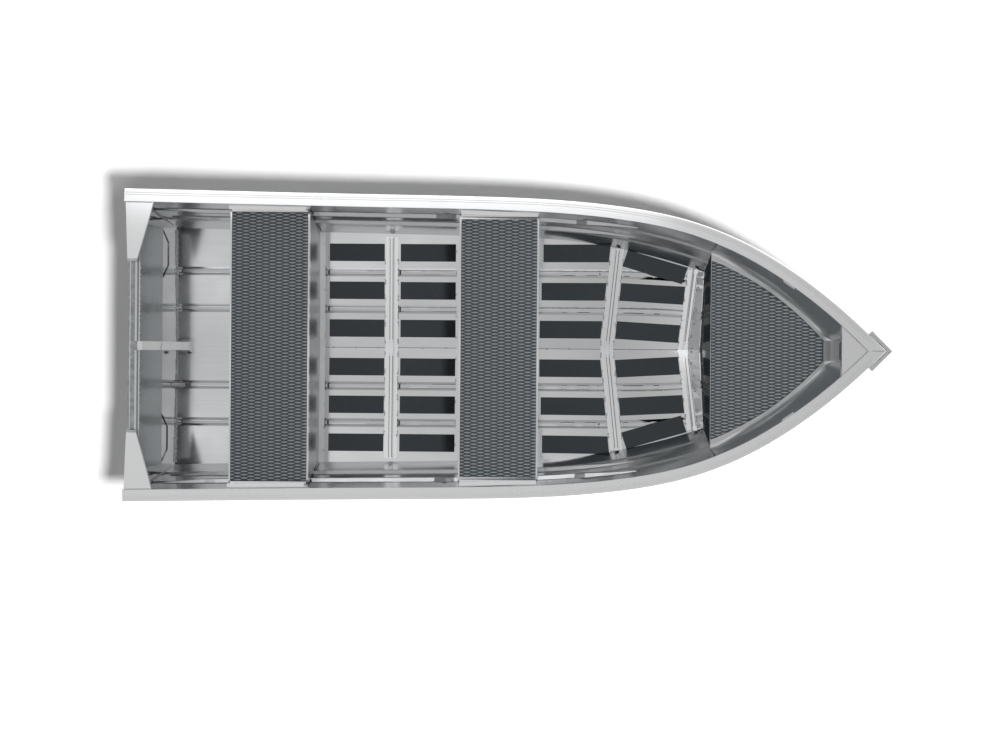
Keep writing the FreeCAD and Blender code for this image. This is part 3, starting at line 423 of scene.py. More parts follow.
def addLozenges(name, node, trim, edges):
    look = matLook
    tree = surfaceTree([node], edges)
    low, high = [list(corner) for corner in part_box(node)]
    # the first column starts at the edge piece, where there is one
    for edge in edges:
        low[0] = min([low[0]] + [vertex.co.x for vertex in edge.data.vertices])
    top = high[2]
    low[1] += trim
    high[1] -= trim
    outline = lozengeOutline(look)
    verts, faces = [], []
    columns = int((high[0] - low[0]) / look["columnStep"]) + 2
    rows = int((high[1] - low[1]) / look["rowStep"]) + 2
    for column in range(columns):
        for row in range(rows):
            x = low[0] + look["columnStep"] * (column + look["firstColumn"])
            y = low[1] + look["rowStep"] * (row + look["stagger"] * (column % 2))
            if not onTop(tree, x, y, top) or y > high[1] or y < low[1]:
                continue
            # lozenges over the edge of the sheet are trimmed to it
            rim = []
            for dx, dy in outline:
                share = 1.0
                while share > look["cutLeast"] and not onTop(tree, x + dx * share, y + dy * share, top):
                    share -= look["cutStep"]
                rim.append((dx * share, dy * share))
            faces += ringFaces(len(verts), len(rim), len(look["ringShares"]))
            for ringShare, ringHeight in zip(look["ringShares"], look["ringHeights"]):
                height = top + look["height"] * ringHeight
                verts += [(x + dx * ringShare, y + dy * ringShare, height) for dx, dy in rim]
            verts.append((x, y, top + look["height"]))
    # the lozenges take the foam with painted shading
    addPiece(name, verts, faces, foamCrown)


# the deck's mat goes on over the bare sheet as far as the deck's folded edge
def addMatEdge():
    look = matLook
    matTree = surfaceTree(["bow_deck_mat"])
    deckTree = surfaceTree(["bow_deck"])
    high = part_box("bow_deck_mat")[1]
    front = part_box("bow_deck")[0][0]
    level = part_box("bow_deck")[1][2]
    verts, faces = [], []
    for i in range(look["edgeSteps"] + 1):
        y = (high[1] - look["edgeInset"]) * (2 * i / look["edgeSteps"] - 1)
        start = front - look["edgeReach"]
        while start < high[0] and not onTop(deckTree, start, y, level):
            start += scanStep
        end = start
        while end < high[0] and not dropOnto(matTree, end, y):
            end += scanStep
        start += look["edgeInset"]
        verts += [(start, y, level - look["edgeSink"]), (start, y, high[2]), (end, y, high[2])]
    for i in range(look["edgeSteps"]):
        a = 3 * i
        faces += [(a, a + 3, a + 4, a + 1), (a + 1, a + 4, a + 5, a + 2)]
    return addPiece("bow_deck_mat_edge", verts, faces, foamGround, smooth=False)


matEdge = addMatEdge()
for bench, trim in matLook["endTrim"].items():
    addLozenges(bench + "_mat_lozenges", bench + "_mat", trim, [matEdge] if bench == "bow_deck" else [])
print("stage: mats")


# the middle bench's mat ends under flat trims
def addMatTrims():
    trim = matLook["endTrim"]["mid_bench"]
    low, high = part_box("mid_bench_mat")
    levels = (high[2] - matLook["trimSink"], high[2] + matLook["trimHeight"])
    faces = [(0, 1, 3, 2), (4, 6, 7, 5), (0, 4, 5, 1), (2, 3, 7, 6), (0, 2, 6, 4), (1, 5, 7, 3)]
    for side, reach in (("port", (high[1] - trim, high[1])), ("starboard", (low[1], low[1] + trim))):
        verts = [(x, y, z) for x in (low[0], high[0]) for y in reach for z in levels]
        addPiece("mid_bench_trim_" + side, verts, faces, crossSheetMetal, smooth=False)


addMatTrims()

# what low domes share unless their own look says otherwise; a ring is a share of the width and height
domeLook = {"sides": 8, "jitter": 0.15, "rings": ((1.0, -0.15), (0.8, 0.7))}


# a dome's look from its sizes in millimetres
def dome(length, width, height, **changes):
    return dict(domeLook, length=length * mm, width=width * mm, height=height * mm, **changes)


# low domes lying on a surface: weld drops, rivets and bolts, each as place, normal and direction
def addDomes(name, spots, look, material=weldMetal):
    verts, faces = [], []
    sides = look["sides"]
    jitter = look["jitter"]
    for place, normal, direction in spots:
        normal = normal.normalized()
        side = normal.cross(direction).normalized()
        forward = side.cross(normal).normalized()
        long = look["length"] / 2 * (1 + random.uniform(-jitter, jitter))
        wide = look["width"] / 2 * (1 + random.uniform(-jitter, jitter))
        high = look["height"] * (1 + random.uniform(-jitter, jitter))
        faces += ringFaces(len(verts), sides, len(look["rings"]))
        for share, rise in look["rings"]:
            for i in range(sides):
                angle = 2 * math.pi * i / sides
                spread = forward * (math.cos(angle) * long * share)
                spread += side * (math.sin(angle) * wide * share)
                verts.append(place + spread + normal * (high * rise))
        verts.append(place + normal * high)
    addPiece(name, verts, faces, material)


# spots over a line seen from above, dropped onto the surface
def spotsAlong(tree, start, end, pitch, wander=0.0):
    start, end = Vector((*start, 0)), Vector((*end, 0))
    run = end - start
    count = max(int(run.length / pitch), 1)
    direction = run.normalized()
    aside = Vector((-direction.y, direction.x, 0))
    spots = []
    for i in range(count + 1):
        point = start + run * (i / count) + aside * random.uniform(-wander, wander)
        hit = dropOnto(tree, point.x, point.y)
        if hit:
            spots.append((hit[0], hit[1], direction))
    return spots


# spots on a straight line in space
def spotsBetween(start, end, normal, pitch, wander):
    start, end, normal = Vector(start), Vector(end), Vector(normal)
    run = end - start
    aside = normal.cross(run).normalized()
    count = max(int(run.length / pitch), 1)
    return [
        (start + run * (i / count) + aside * random.uniform(-wander, wander), normal, run.normalized())
        for i in range(count + 1)
    ]


# places from first to last, a step apart
def stations(look):
    count = int((look["last"] - look["first"]) / look["step"])
    return [look["first"] + look["step"] * i for i in range(count + 1)]


def bothSides(spots):
    flipped = []
    for place, normal, direction in spots:
        flipped.append(tuple(Vector((v.x, -v.y, v.z)) for v in (place, normal, direction)))
    return spots + flipped


# half a width across a line of points, at one of them
def halfAcross(points, i, normal, width):
    before = points[max(i - 1, 0)]
    after = points[min(i + 1, len(points) - 1)]
    return normal.cross(after - before).normalized() * (width / 2)


def addRibbon(name, points, width, material, normal=up):
    verts = []
    for i, point in enumerate(points):
        side = halfAcross(points, i, normal, width)
        verts += [point - side, point + side]
    addPiece(name, verts, rowFaces(len(points), 2), material)


# Keel seam inside: the two bottom sheets meet in a dark joint, tacked at even steps.
seamLook = {
    "first": -1.640,
    "last": 0.975,
    "step": 0.05,
    "width": 2.4 * mm,
    "lift": 0.3 * mm,
    "beside": 0.4 * mm,
    "tacks": ((-0.898, -0.666, 3), (-0.556, -0.312, 3), (0.220, 0.453, 3), (0.636, 0.894, 4)),
    "tack": dome(14, 11, 3),
}


def addSeam():
    look = seamLook
    points = []
    for x in stations(look):
        hit = dropOnto(bottomTree, x, look["beside"])
        points.append(Vector((x, 0, hit[0].z + look["lift"])))
    addRibbon("keel_seam_joint", points, look["width"], sealantAndShade)
    spots = []
    for first, last, number in look["tacks"]:
        for i in range(number):
            x = first + (last - first) * i / (number - 1)
            hit = dropOnto(bottomTree, x, look["beside"])
            spots.append((Vector((x, 0, hit[0].z)), up, xWay))
    addDomes("keel_seam_tacks", spots, look["tack"])


addSeam()

# Ribs: short welds along both flanges, at the ends of the strips and strakes.
ribLook = {
    "ribs": (
        {"place": -0.5950, "bend": 0.0, "half": 0.578, "reach": (-0.033, 0.033)},
        {"place": 0.5330, "bend": 0.046, "half": 0.521, "reach": (-0.033, 0.033)},
        {"place": 0.9402, "bend": 0.032, "half": 0.4115, "reach": (-0.036,)},
    ),
    "centres": (0.032, 0.125, 0.165, 0.262, 0.345, 0.450),
    "endMargin": 0.05,
    "run": 24 * mm,
    "pitch": 5 * mm,
    "wander": 1 * mm,
    "drop": dome(8, 8, 2.6),
}


def addRibWelds():
    look = ribLook
    spots = []
    for rib in look["ribs"]:
        for centre in look["centres"]:
            if centre > rib["half"] - look["endMargin"]:
                continue
            for reach in rib["reach"]:
                x = rib["place"] + reach + rib["bend"] * centre / rib["half"]
                low, high = centre - look["run"] / 2, centre + look["run"] / 2
                spots += spotsAlong(whole, (x, low), (x, high), look["pitch"], look["wander"])
    addDomes("rib_welds", bothSides(spots), look["drop"])


addRibWelds()

# Feet of the bench panels: tack welds on their edges, each edge as place, reach and number.
tackLook = {
    "edges": ((-0.9445, 0.600, 5), (-0.2575, 0.560, 5)),
    "lift": 1.5 * mm,
    "drop": dome(16, 8, 2.5),
}


def addFootTacks():
    spots = []
    for x, reach, number in tackLook["edges"]:
        for i in range(number):
            hit = dropOnto(bottomTree, x, reach * (i + 0.5) / number)
            spots.append((hit[0] + up * tackLook["lift"], hit[1], yWay))
    addDomes("bench_foot_tacks", bothSides(spots), tackLook["drop"])


addFootTacks()

# Foot of the bow deck's panel: a thin flange on the bottom sheets with ringed welds, and beads along
# its relief cuts.
deckFootLook = {
    "back": 0.9535,
    "bend": 0.078,
    "front": 1.0130,
    "low": 0.001,
    "high": 0.398,
    "steps": 8,
    "under": 0.1 * mm,
    "thickness": 3.4 * mm,
    "welds": (
        (0.973, 0.013), (0.968, 0.073), (0.980, 0.140), (0.984, 0.207), (0.990, 0.314), (0.996, 0.385),
    ),
    "drop": dome(13, 20, 2.4, sides=12),
    "relief": (0.182, 0.156),
    "reliefRun": (0.982, 1.010),
    "pitch": 3 * mm,
    "bead": dome(7, 7, 3),
}


def addDeckFoot():
    look = deckFootLook
    verts, faces = [], []
    for sign, _ in boatSides:
        start = len(verts)
        for i in range(look["steps"] + 1):
            y = look["low"] + (look["high"] - look["low"]) * i / look["steps"]
            for x in (look["back"] + look["bend"] * y, look["front"]):
                place, normal = dropOnto(bottomTree, x, y * sign)
                verts += [place + normal * look["under"], place + normal * look["thickness"]]
        for i in range(look["steps"]):
            a = start + 4 * i
            b = a + 4
            faces += [(a + 1, a + 3, b + 3, b + 1), (a, a + 1, b + 1, b), (a + 2, a + 3, b + 3, b + 2)]
    # the flange takes the oxidised sheet, darkened further by painted shade
    addPiece("deck_panel_foot", verts, faces, footShadedMetal, smooth=False)
    spots = []
    for x, y in look["welds"]:
        place, normal = dropOnto(bottomTree, x, y)
        spots.append((place + normal * look["thickness"], normal, xWay))
    addDomes("deck_panel_foot_welds", bothSides(spots), look["drop"])
    first, last = look["reliefRun"]
    spots = []
    for y in look["relief"]:
        spots += spotsAlong(bottomTree, (first, y), (last, y), look["pitch"])
    spots = [(place + up * look["thickness"], normal, way) for place, normal, way in spots]
    addDomes("deck_panel_foot_beads", bothSides(spots), look["bead"])


addDeckFoot()

# Transom foot: an uneven hand-run weld in the corner, with large drops where it meets the strakes.
transomLook = {
    "cornerX": -1.7185,
    "half": 0.605,
    "pitch": 6.5 * mm,
    "wander": 2.2 * mm,
    "drop": dome(9, 7, 3, jitter=0.35),
    "strakes": (0.202, 0.3955),
    "strakeStep": 6 * mm,
    "strakeLift": 2 * mm,
    "strakeDrop": dome(34, 13, 6, jitter=0.1),
    "sideLow": (-1.7300, 0.632, 0.075),
    "sideHigh": (-1.8090, 0.719, 0.530),
    "sideNormal": (0.75, -0.55, 0.35),
    "sidePitch": 8 * mm,
    "sideWander": 2 * mm,
}


def addTransomWelds():
    look = transomLook
    x, half = look["cornerX"], look["half"]
    spots = spotsAlong(whole, (x, -half), (x, half), look["pitch"], look["wander"])
    side = spotsBetween(
        look["sideLow"], look["sideHigh"], look["sideNormal"], look["sidePitch"], look["sideWander"]
    )
    addDomes("transom_corner_weld", spots + bothSides(side), look["drop"])
    spots = []
    for y in look["strakes"]:
        hit = dropOnto(bottomTree, x + look["strakeStep"], y)
        spots.append((hit[0] + up * look["strakeLift"], up, xWay))
    addDomes("transom_strake_welds", bothSides(spots), look["strakeDrop"])


addTransomWelds()

# Rivets and bolts seen in the boat, in groups that share a normal.
rivetLook = {
    "rivets": (
        (((-1.756, 0.398, 0.4955), (-1.756, 0.241, 0.4955)), (0.985, 0, 0.174)),
        (((1.420, 0.257, 0.455), (1.535, 0.156, 0.458)), (-0.63, -0.70, 0.34)),
        (((1.001, 0.4445, 0.277), (1.011, 0.4560, 0.327)), (-0.38, -0.86, 0.33)),
    ),
    "bow_bolts": ((((1.607, 0.070, 0.433),), (-0.69, -0.64, 0.33)),),
    "domes": {
        "rivets": dome(12, 12, 3, sides=12, jitter=0.0),
        "bow_bolts": dome(18, 16, 7, sides=12, jitter=0.0),
    },
}


def addRivets():
    for name, look in rivetLook["domes"].items():
        spots = []
        for places, normal in rivetLook[name]:
            normal = Vector(normal)
            spots += [(Vector(place), normal, normal.cross(up)) for place in places]
        addDomes(name, bothSides(spots), look, fastenerMetal)


addRivets()

# Channels: the strakes are troughs inside, dulled by standing water. Where they run in under a rib or
# a foot, a dark patch of painted shade lies in them. Their middle is the deepest place across the sheet.
channelLook = {
    "guesses": (0.199, 0.391),
    "first": -1.690,
    "last": 0.930,
    "step": 0.04,
    "scans": 15,
    "scanStep": 2 * mm,
    "spread": 36 * mm,
    "leastDepth": 5 * mm,
    "width": 25 * mm,
    "lift": 0.5 * mm,
    "ends": (-0.9270, -0.5525, 0.4940, 0.9020),
    "shadeLength": 9 * mm,
    "shadeWidth": 32 * mm,
    "shadeLift": 1.2 * mm,
}


def channelCentre(x, guess):
    look = channelLook
    best = None
    for i in range(-look["scans"], look["scans"] + 1):
        y = guess + i * look["scanStep"]
        level = dropOnto(bottomTree, x, y)[0].z
        outer = dropOnto(bottomTree, x, y + look["spread"])
        inner = dropOnto(bottomTree, x, y - look["spread"])
        depth = (outer[0].z + inner[0].z) / 2 - level if outer and inner else 0
        if best is None or depth > best[0]:
            best = (depth, y, level)
    return best


def addChannels():
    look = channelLook
    for number, near in enumerate(look["guesses"]):
        points = []
        for x in stations(look):
            depth, near, level = channelCentre(x, near)
            if depth < look["leastDepth"]:
                break
            points.append(Vector((x, near, level + look["lift"])))
        for sign, side in boatSides:
            placed = [Vector((p.x, p.y * sign, p.z)) for p in points]
            name = "channel_%s_%d" % (side, number + 1)
            addRibbon(name, placed, look["width"], channelMetal)
            # dark patches of painted shade where the channel runs in under a rib or a foot
            for order, x in enumerate(look["ends"]):
                index = min(int((x - look["first"]) / look["step"]), len(placed) - 1)
                level = placed[index] + up * look["shadeLift"]
                ends = [Vector((x + way * look["shadeLength"] / 2, level.y, level.z)) for way in (-1, 1)]
                addRibbon(name + "_end_%d" % (order + 1), ends, look["shadeWidth"], sealantAndShade)


addChannels()

# Two dark lines of painted reflection along the folds of each rib's crown, where its steep sides
# mirror dark parts of the studio.
ribDarkLineLook = {
    "offset": 7.5 * mm,
    "width": 2.6 * mm,
    "lift": 0.3 * mm,
    "start": 0.03,
    "step": 0.03,
    "endMargin": 5 * mm,
}


def addRibDarkLines():
    look = ribDarkLineLook
    for number, rib in enumerate(ribLook["ribs"]):
        for sign, side in boatSides:
            for order, offset in enumerate((-look["offset"], look["offset"])):
                points = []
                y = look["start"]
                while y < rib["half"] - look["endMargin"]:
                    x = rib["place"] + offset + rib["bend"] * y / rib["half"]
                    hit = dropOnto(whole, x, y * sign)
                    points.append(hit[0] + up * look["lift"])
                    y += look["step"]
                name = "rib_%d_fold_%s_%d" % (number + 1, side, order + 1)
                # a dark line of painted reflection
                addRibbon(name, points, look["width"], sealantAndShade)


addRibDarkLines()

# Gunwales: their inner and outer edges are read from the CAD, and fine ridges follow them. The
# stations lie closer together towards the bow, where the gunwale turns in.
gunwaleLook = {
    "reach": 0.77,
    "first": -1.830,
    "last": 1.735,
    "stations": 44,
    "crowding": 1.6,
    "ridges": (0.30, 0.46),
    "ridgeWidth": 3.0 * mm,
    "ridgeHeight": 1.2 * mm,
    "ridgeSink": 0.2 * mm,
    "shoulder": 0.5,
}


def gunwaleEdges(x):
    inner = outer = None
    y = 0.0
    while y < gunwaleLook["reach"]:
        if dropOnto(gunwaleTree, x, y):
            inner = y if inner is None else inner
            outer = y
        y += scanStep
    return inner, outer


def addRidge(name, points):
    look = gunwaleLook
    verts = []
    for i, point in enumerate(points):
        side = halfAcross(points, i, up, look["ridgeWidth"])
        shoulder = side * look["shoulder"]
        crown = up * look["ridgeHeight"]
        verts += [point - side, point - shoulder + crown, point + shoulder + crown, point + side]
    addPiece(name, verts, rowFaces(len(points), 4), extrusionMetal)


def addGunwaleLines():
    look = gunwaleLook
    edges = []
    for i in range(look["stations"]):
        share = 1 - (1 - i / (look["stations"] - 1)) ** look["crowding"]
        x = look["first"] + (look["last"] - look["first"]) * share
        edges.append((x,) + gunwaleEdges(x))
    for sign, side in boatSides:
        for number, share in enumerate(look["ridges"]):
            points = []
            for x, inner, outer in edges:
                y = outer + (inner - outer) * share
                hit = dropOnto(gunwaleTree, x, y)
                points.append(Vector((x, y * sign, hit[0].z - look["ridgeSink"])))
            addRidge("gunwale_%s_ridge_%d" % (side, number + 1), points)


addGunwaleLines()

# Sides: over each pressed swage the sheet steps in by a narrow ledge, which takes the light. A span
# is a share of the way from the side's foot to the gunwale.
ledgeLook = {
    "first": -1.700,
    "last": 0.70,
    "step": 0.05,
    "spans": ((0.93, 0.72), (0.56, 0.38)),
    "fall": 10 * mm,
    "rim": 1 * mm,
    "tuck": 0.5 * mm,
    "runOut": 0.30,
    "firstFade": 0.3,
    "footReach": 0.13,
}


def sideFoot(x, top):
    foot = top - ledgeLook["footReach"]
    while not dropOnto(sideTree, x, foot) and foot < top:
        foot += scanStep
    return foot


def addLedges():
    look = ledgeLook
    for number, (outerShare, innerShare) in enumerate(look["spans"]):
        rows = []
        for x in stations(look):
            top = gunwaleEdges(x)[0]
            foot = sideFoot(x, top)
            fadeIn = look["firstFade"] + (x - look["first"]) / look["runOut"]
            fade = min(1.0, (look["last"] - x) / look["runOut"], fadeIn)
            outer = foot + (top - foot) * outerShare
            inner = outer - (top - foot) * (outerShare - innerShare) * fade - look["tuck"]
            high = dropOnto(sideTree, x, outer)[0].z
            low = dropOnto(sideTree, x, inner)
            low = low[0].z if low else high - look["fall"] * fade
            step = max(high - look["fall"] * fade, low + look["rim"])
            rows.append(((x, outer, high + look["rim"]), (x, inner, step), (x, inner, low)))
        for sign, side in boatSides:
            verts = [(x, y * sign, z) for row in rows for x, y, z in row]
            name = "side_ledge_%s_%d" % (side, number + 1)
            addPiece(name, verts, rowFaces(len(rows), 3), sideMetal, smooth=False)


addLedges()

# Bench ends: past the mat the sheet rises a little to the side, where it is folded into a narrow lip.
lipLook = {
    "benches": ("aft_bench", "mid_bench"),
    "level": 0.462,
    "width": 19 * mm,
    "rise": 0.11,
    "tuck": 3 * mm,
    "wallGap": 1 * mm,
    "coverWidth": 25 * mm,
    "coverSink": 0.5 * mm,
}


# inner face of the port side at a height
def wallAt(x, z):
    place = sideTree.ray_cast(Vector((x, 0, z)), yWay)[0]
    return place.y - lipLook["wallGap"] if place else gunwaleEdges(x)[0]


def addBenchEnds():
    look = lipLook
    for bench in look["benches"]:
        low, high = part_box(bench + "_mat")
        for sign, side in boatSides:
            lip, cover = [], []
            for x in (low[0], high[0]):
                level = look["level"]
                outer = min(gunwaleEdges(x)[0] + look["tuck"], wallAt(x, level))
                inner = outer - look["width"]
                lip += [(x, outer * sign, level), (x, inner * sign, level - look["width"] * look["rise"])]
                level = high[2] - look["coverSink"]
                width = min(look["coverWidth"], wallAt(x, level) - high[1])
                outer = high[1] + width
                cover += [(x, high[1] * sign, level), (x, outer * sign, level + width * look["rise"])]
            for name, verts in (("lip", lip), ("cover", cover)):
                full = "%s_%s_%s" % (bench, name, side)
                addPiece(full, verts, rowFaces(2, 2), ribMetal, smooth=False)


addBenchEnds()

# Transom: the sheet is turned in under the board that stiffens its top. Only faces that look down
# are covered.
turnedLook = {"downward": -0.9, "gap": 0.6 * mm}


def addTurnedSheet():
    verts, faces = [], []
    mesh = nodes["motor_board"].data
    for polygon in mesh.polygons:
        if polygon.normal.z < turnedLook["downward"]:
            start = len(verts)
            under = polygon.normal * turnedLook["gap"]
            verts += [mesh.vertices[i].co + under for i in polygon.vertices]
            faces.append(tuple(range(start, len(verts))))
    if faces:
        addPiece("transom_turned_sheet", verts, faces, channelMetal, smooth=False)


addTurnedSheet()

# Bow: smooth lining sheets rise from the deck mat's edge, first as a light band and then steeply
# up to the gunwales. The nose gives the last rows, as x and three points across.
linerLook = {
    "first": 1.015,
    "step": 0.03,
    "matGap": 1.5 * mm,
    "band": 44 * mm,
    "bandGap": 8 * mm,
    "lift": 2 * mm,
    "level": 0.4045,
    "tuck": 3 * mm,
    "probe": 4 * mm,
    "under": 20 * mm,
    "nose": (
        (1.606, (0.049, 0.4045), (0.053, 0.408), (0.057, 0.430)),
        (1.638, (0.046, 0.4490), (0.047, 0.451), (0.049, 0.462)),
    ),
}


# where the lining goes in under the gunwale, with the gunwale's inner edge
def linerTop(x):
    look = linerLook
    edge = gunwaleEdges(x)[0]
    level = dropOnto(gunwaleTree, x, edge + look["probe"])[0].z - look["under"]
    return edge, (edge + look["tuck"], level)


def addLiner():
    look = linerLook
    matTree = surfaceTree(["bow_deck_mat"], [matEdge])
    underTree = surfaceTree(["hull_side_port", "bow_deck", "hull_bottom_port"])
    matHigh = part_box("bow_deck_mat")[1]
    last = matHigh[0] - look["matGap"]
    rows = []
    count = int((last - look["first"]) / look["step"])
    for i in range(count + 1):
        x = look["first"] + (last - look["first"]) * i / count
        edge = matHigh[1]
        while i > 0 and edge > 0 and not dropOnto(matTree, x, edge):
            edge -= scanStep
        gunwaleEdge, top = linerTop(x)
        outer = min(edge + look["band"], gunwaleEdge - look["bandGap"])
        middle = (edge + outer) / 2
        levels = []
        for y in (middle, outer):
            hit = dropOnto(underTree, x, y)
            levels.append(max(hit[0].z + look["lift"], look["level"]) if hit else look["level"])
        rows.append((x, (edge, look["level"]), (middle, levels[0]), (outer, levels[1]), top))
    rows += [nose + (linerTop(nose[0])[1],) for nose in look["nose"]]
    for sign, side in boatSides:
        for name, columns in (("bow_lining_band_", (1, 2)), ("bow_lining_", (2, 3, 4))):
            verts = [(row[0], row[c][0] * sign, row[c][1]) for row in rows for c in columns]
            addPiece(name + side, verts, rowFaces(len(rows), len(columns)), linerMetal)
    return rows[-3:]


noseRows = addLiner()
print("stage: welds, rivets, channels, ledges and gunwale lines")

# Bow: the gunwales are mitred and welded, the breasthook is welded in between, a plate closes the
# stem below it, and the guard is seamed to the gunwales' outer faces. A block hangs under each gunwale.
bowLook = {
    "mitre": (1.742, 1.800),
    "beside": 0.5 * mm,
    "breasthook": (1.602, 1.714, -3 * mm),
    "bow_guard": (1.744, 1.798, 4 * mm),
    "pitch": 4 * mm,
    "bead": dome(7, 6, 1.6, jitter=0.1),
    "bolt": dome(9, 9, 4, sides=12, jitter=0.0),
    "guardBolt": (1.821, -0.006),
    "stemPlateThickness": 2 * mm,
    "block": (1.322, 1.374),
    "blockProbe": 2 * mm,
    "blockDrop": 8 * mm,
    "blockTuck": 1 * mm,
    "blockWidth": 9 * mm,
    "blockHeight": 14 * mm,
}


def addBowWelds():
    look = bowLook
    ends = [(x, look["beside"]) for x in look["mitre"]]
    addDomes("bow_mitre_weld", spotsAlong(gunwaleTree, ends[0], ends[1], look["pitch"]), look["bead"])
    for name, edge in (("breasthook", 0), ("bow_guard", 1)):
        tree = surfaceTree([name])
        first, last, aside = look[name]
        ends = [(x, gunwaleEdges(x)[edge] + aside) for x in (first, (first + last) / 2, last)]
        spots = []
        for start, end in zip(ends, ends[1:]):
            spots += spotsAlong(tree, start, end, look["pitch"])
        addDomes(name + "_welds", bothSides(spots), look["bead"])
    hit = dropOnto(whole, *look["guardBolt"])
    addDomes("bow_guard_bolt", [(hit[0], up, xWay)], look["bolt"], fastenerMetal)


def addStemPlate():
    verts = []
    for row in noseRows:
        y, z = row[1]
        low = z - bowLook["stemPlateThickness"]
        verts += [(row[0], y, z), (row[0], -y, z), (row[0], y, low), (row[0], -y, low)]
    faces = [(0, 1, 5, 4), (4, 5, 9, 8), (2, 6, 7, 3), (6, 10, 11, 7), (8, 9, 11, 10), (0, 2, 3, 1)]
    addPiece("stem_plate", verts, faces, weldMetal, smooth=False)


def addGunwaleBlocks():
    look = bowLook
    verts, faces = [], []
    for sign, _ in boatSides:
        a = len(verts)
        for x in look["block"]:
            inner = gunwaleEdges(x)[0]
            level = dropOnto(gunwaleTree, x, inner + look["blockProbe"])[0].z - look["blockDrop"]
            for y in (inner + look["blockTuck"], inner - look["blockWidth"]):
                verts += [(x, y * sign, level), (x, y * sign, level - look["blockHeight"])]
        faces += [
            (a, a + 2, a + 6, a + 4), (a + 1, a + 3, a + 7, a + 5), (a, a + 1, a + 3, a + 2),
            (a + 4, a + 5, a + 7, a + 6), (a + 2, a + 3, a + 7, a + 6), (a, a + 1, a + 5, a + 4),
        ]
    addPiece("bow_gunwale_blocks", verts, faces, fastenerMetal, smooth=False)


addBowWelds()
addStemPlate()
addGunwaleBlocks()

# Stern: beads between knees and gunwales, at the knees' inner ends and on the clamp plate's front
# edge, which are sparse and uneven; a small bung beside the foot of the post.
sternLook = {
    "kneeSeam": (-1.832, -1.704),
    "kneeInset": 2.5 * mm,
    "kneePitch": 4 * mm,
    "kneeWander": 0.5 * mm,
    "kneeEnd": (-1.819, -1.779),
    "kneeEndY": 0.4085,
    "kneeEndRows": 3,
    "kneeEndStep": 4 * mm,
    "kneeEndPitch": 5 * mm,
    "kneeEndWander": 1 * mm,
    "bead": dome(7, 6, 2),
    "clampEdge": (-1.7635, 0.040, 0.395),
    "clampGaps": (9, 34),
    "sparse": dome(8, 3.5, 1.2, jitter=0.4),
    "bung": (-1.656, -0.034),
    "bungLift": 1.5 * mm,
    "bungRim": dome(34, 22, 2.5, sides=14, jitter=0.0),
    "bungPlug": dome(26, 14, 4, sides=14, jitter=0.0),
}


def addSternDetails():
    look = sternLook
    ends = [(x, gunwaleEdges(x)[0] - look["kneeInset"]) for x in look["kneeSeam"]]
    spots = spotsAlong(whole, ends[0], ends[1], look["kneePitch"], look["kneeWander"])
    for row in range(look["kneeEndRows"]):
        y = look["kneeEndY"] + row * look["kneeEndStep"]
        ends = [(x, y) for x in look["kneeEnd"]]
        spots += spotsAlong(whole, ends[0], ends[1], look["kneeEndPitch"], look["kneeEndWander"])
    addDomes("knee_welds", bothSides(spots), look["bead"])
    x, y, high = look["clampEdge"]
    spots = []
    while y < high:
        hit = dropOnto(whole, x, y)
        if hit:
            spots.append((hit[0], up, yWay))
        y += random.uniform(*look["clampGaps"]) * mm
    addDomes("clamp_edge_welds", bothSides(spots), look["sparse"])
    place = dropOnto(bottomTree, *look["bung"])[0]
    addDomes("floor_bung_rim", [(place, up, xWay)], look["bungRim"], fastenerMetal)
    addDomes("floor_bung", [(place + up * look["bungLift"], up, xWay)], look["bungPlug"], sealantAndShade)


addSternDetails()

# Painted shade: dark strips in the gaps between the ends of the aft bench's front panel and the sides.
gapShadeLook = {
    "run": ((-0.968, 0.678, 0.383), (-0.966, 0.646, 0.236), (-0.961, 0.607, 0.066)),
    "normal": (0.75, -0.45, 0.5),
    "width": 8 * mm,
}


def addGapShade():
    for sign, side in boatSides:
        points = [Vector((x, y * sign, z)) for x, y, z in gapShadeLook["run"]]
        x, y, z = gapShadeLook["normal"]
        addRibbon("bench_gap_shade_" + side, points, gapShadeLook["width"], sealantAndShade, Vector((x, y * sign, z)))


addGapShade()
print("stage: bow, stern and joints")


# a level sheet of the studio between two corners
def studioSheet(name, low, high, height, material):
    mesh = bpy.data.meshes.new(name)
    corners = [(low[0], low[1]), (high[0], low[1]), (high[0], high[1]), (low[0], high[1])]
    mesh.from_pydata([(x, y, height) for x, y in corners], [], [(0, 1, 2, 3)])
    mesh.materials.append(material)
    sheet = bpy.data.objects.new(name, mesh)
    bpy.context.scene.collection.objects.link(sheet)
    return sheet


# The boat stands on a plain white floor that runs past the picture on all sides. Away from the boat
# the camera, and what the metal mirrors, see it fade to pure white.
stageLook = {
    "floorColor": "#f6f6f6",
    "roughness": 0.9,
    "floorSize": 60.0,
    "sink": 0.5 * mm,
    "fade": (2.45, 1.40),
    "fadeReach": 0.35,
    "whiteLift": 0.8,
}


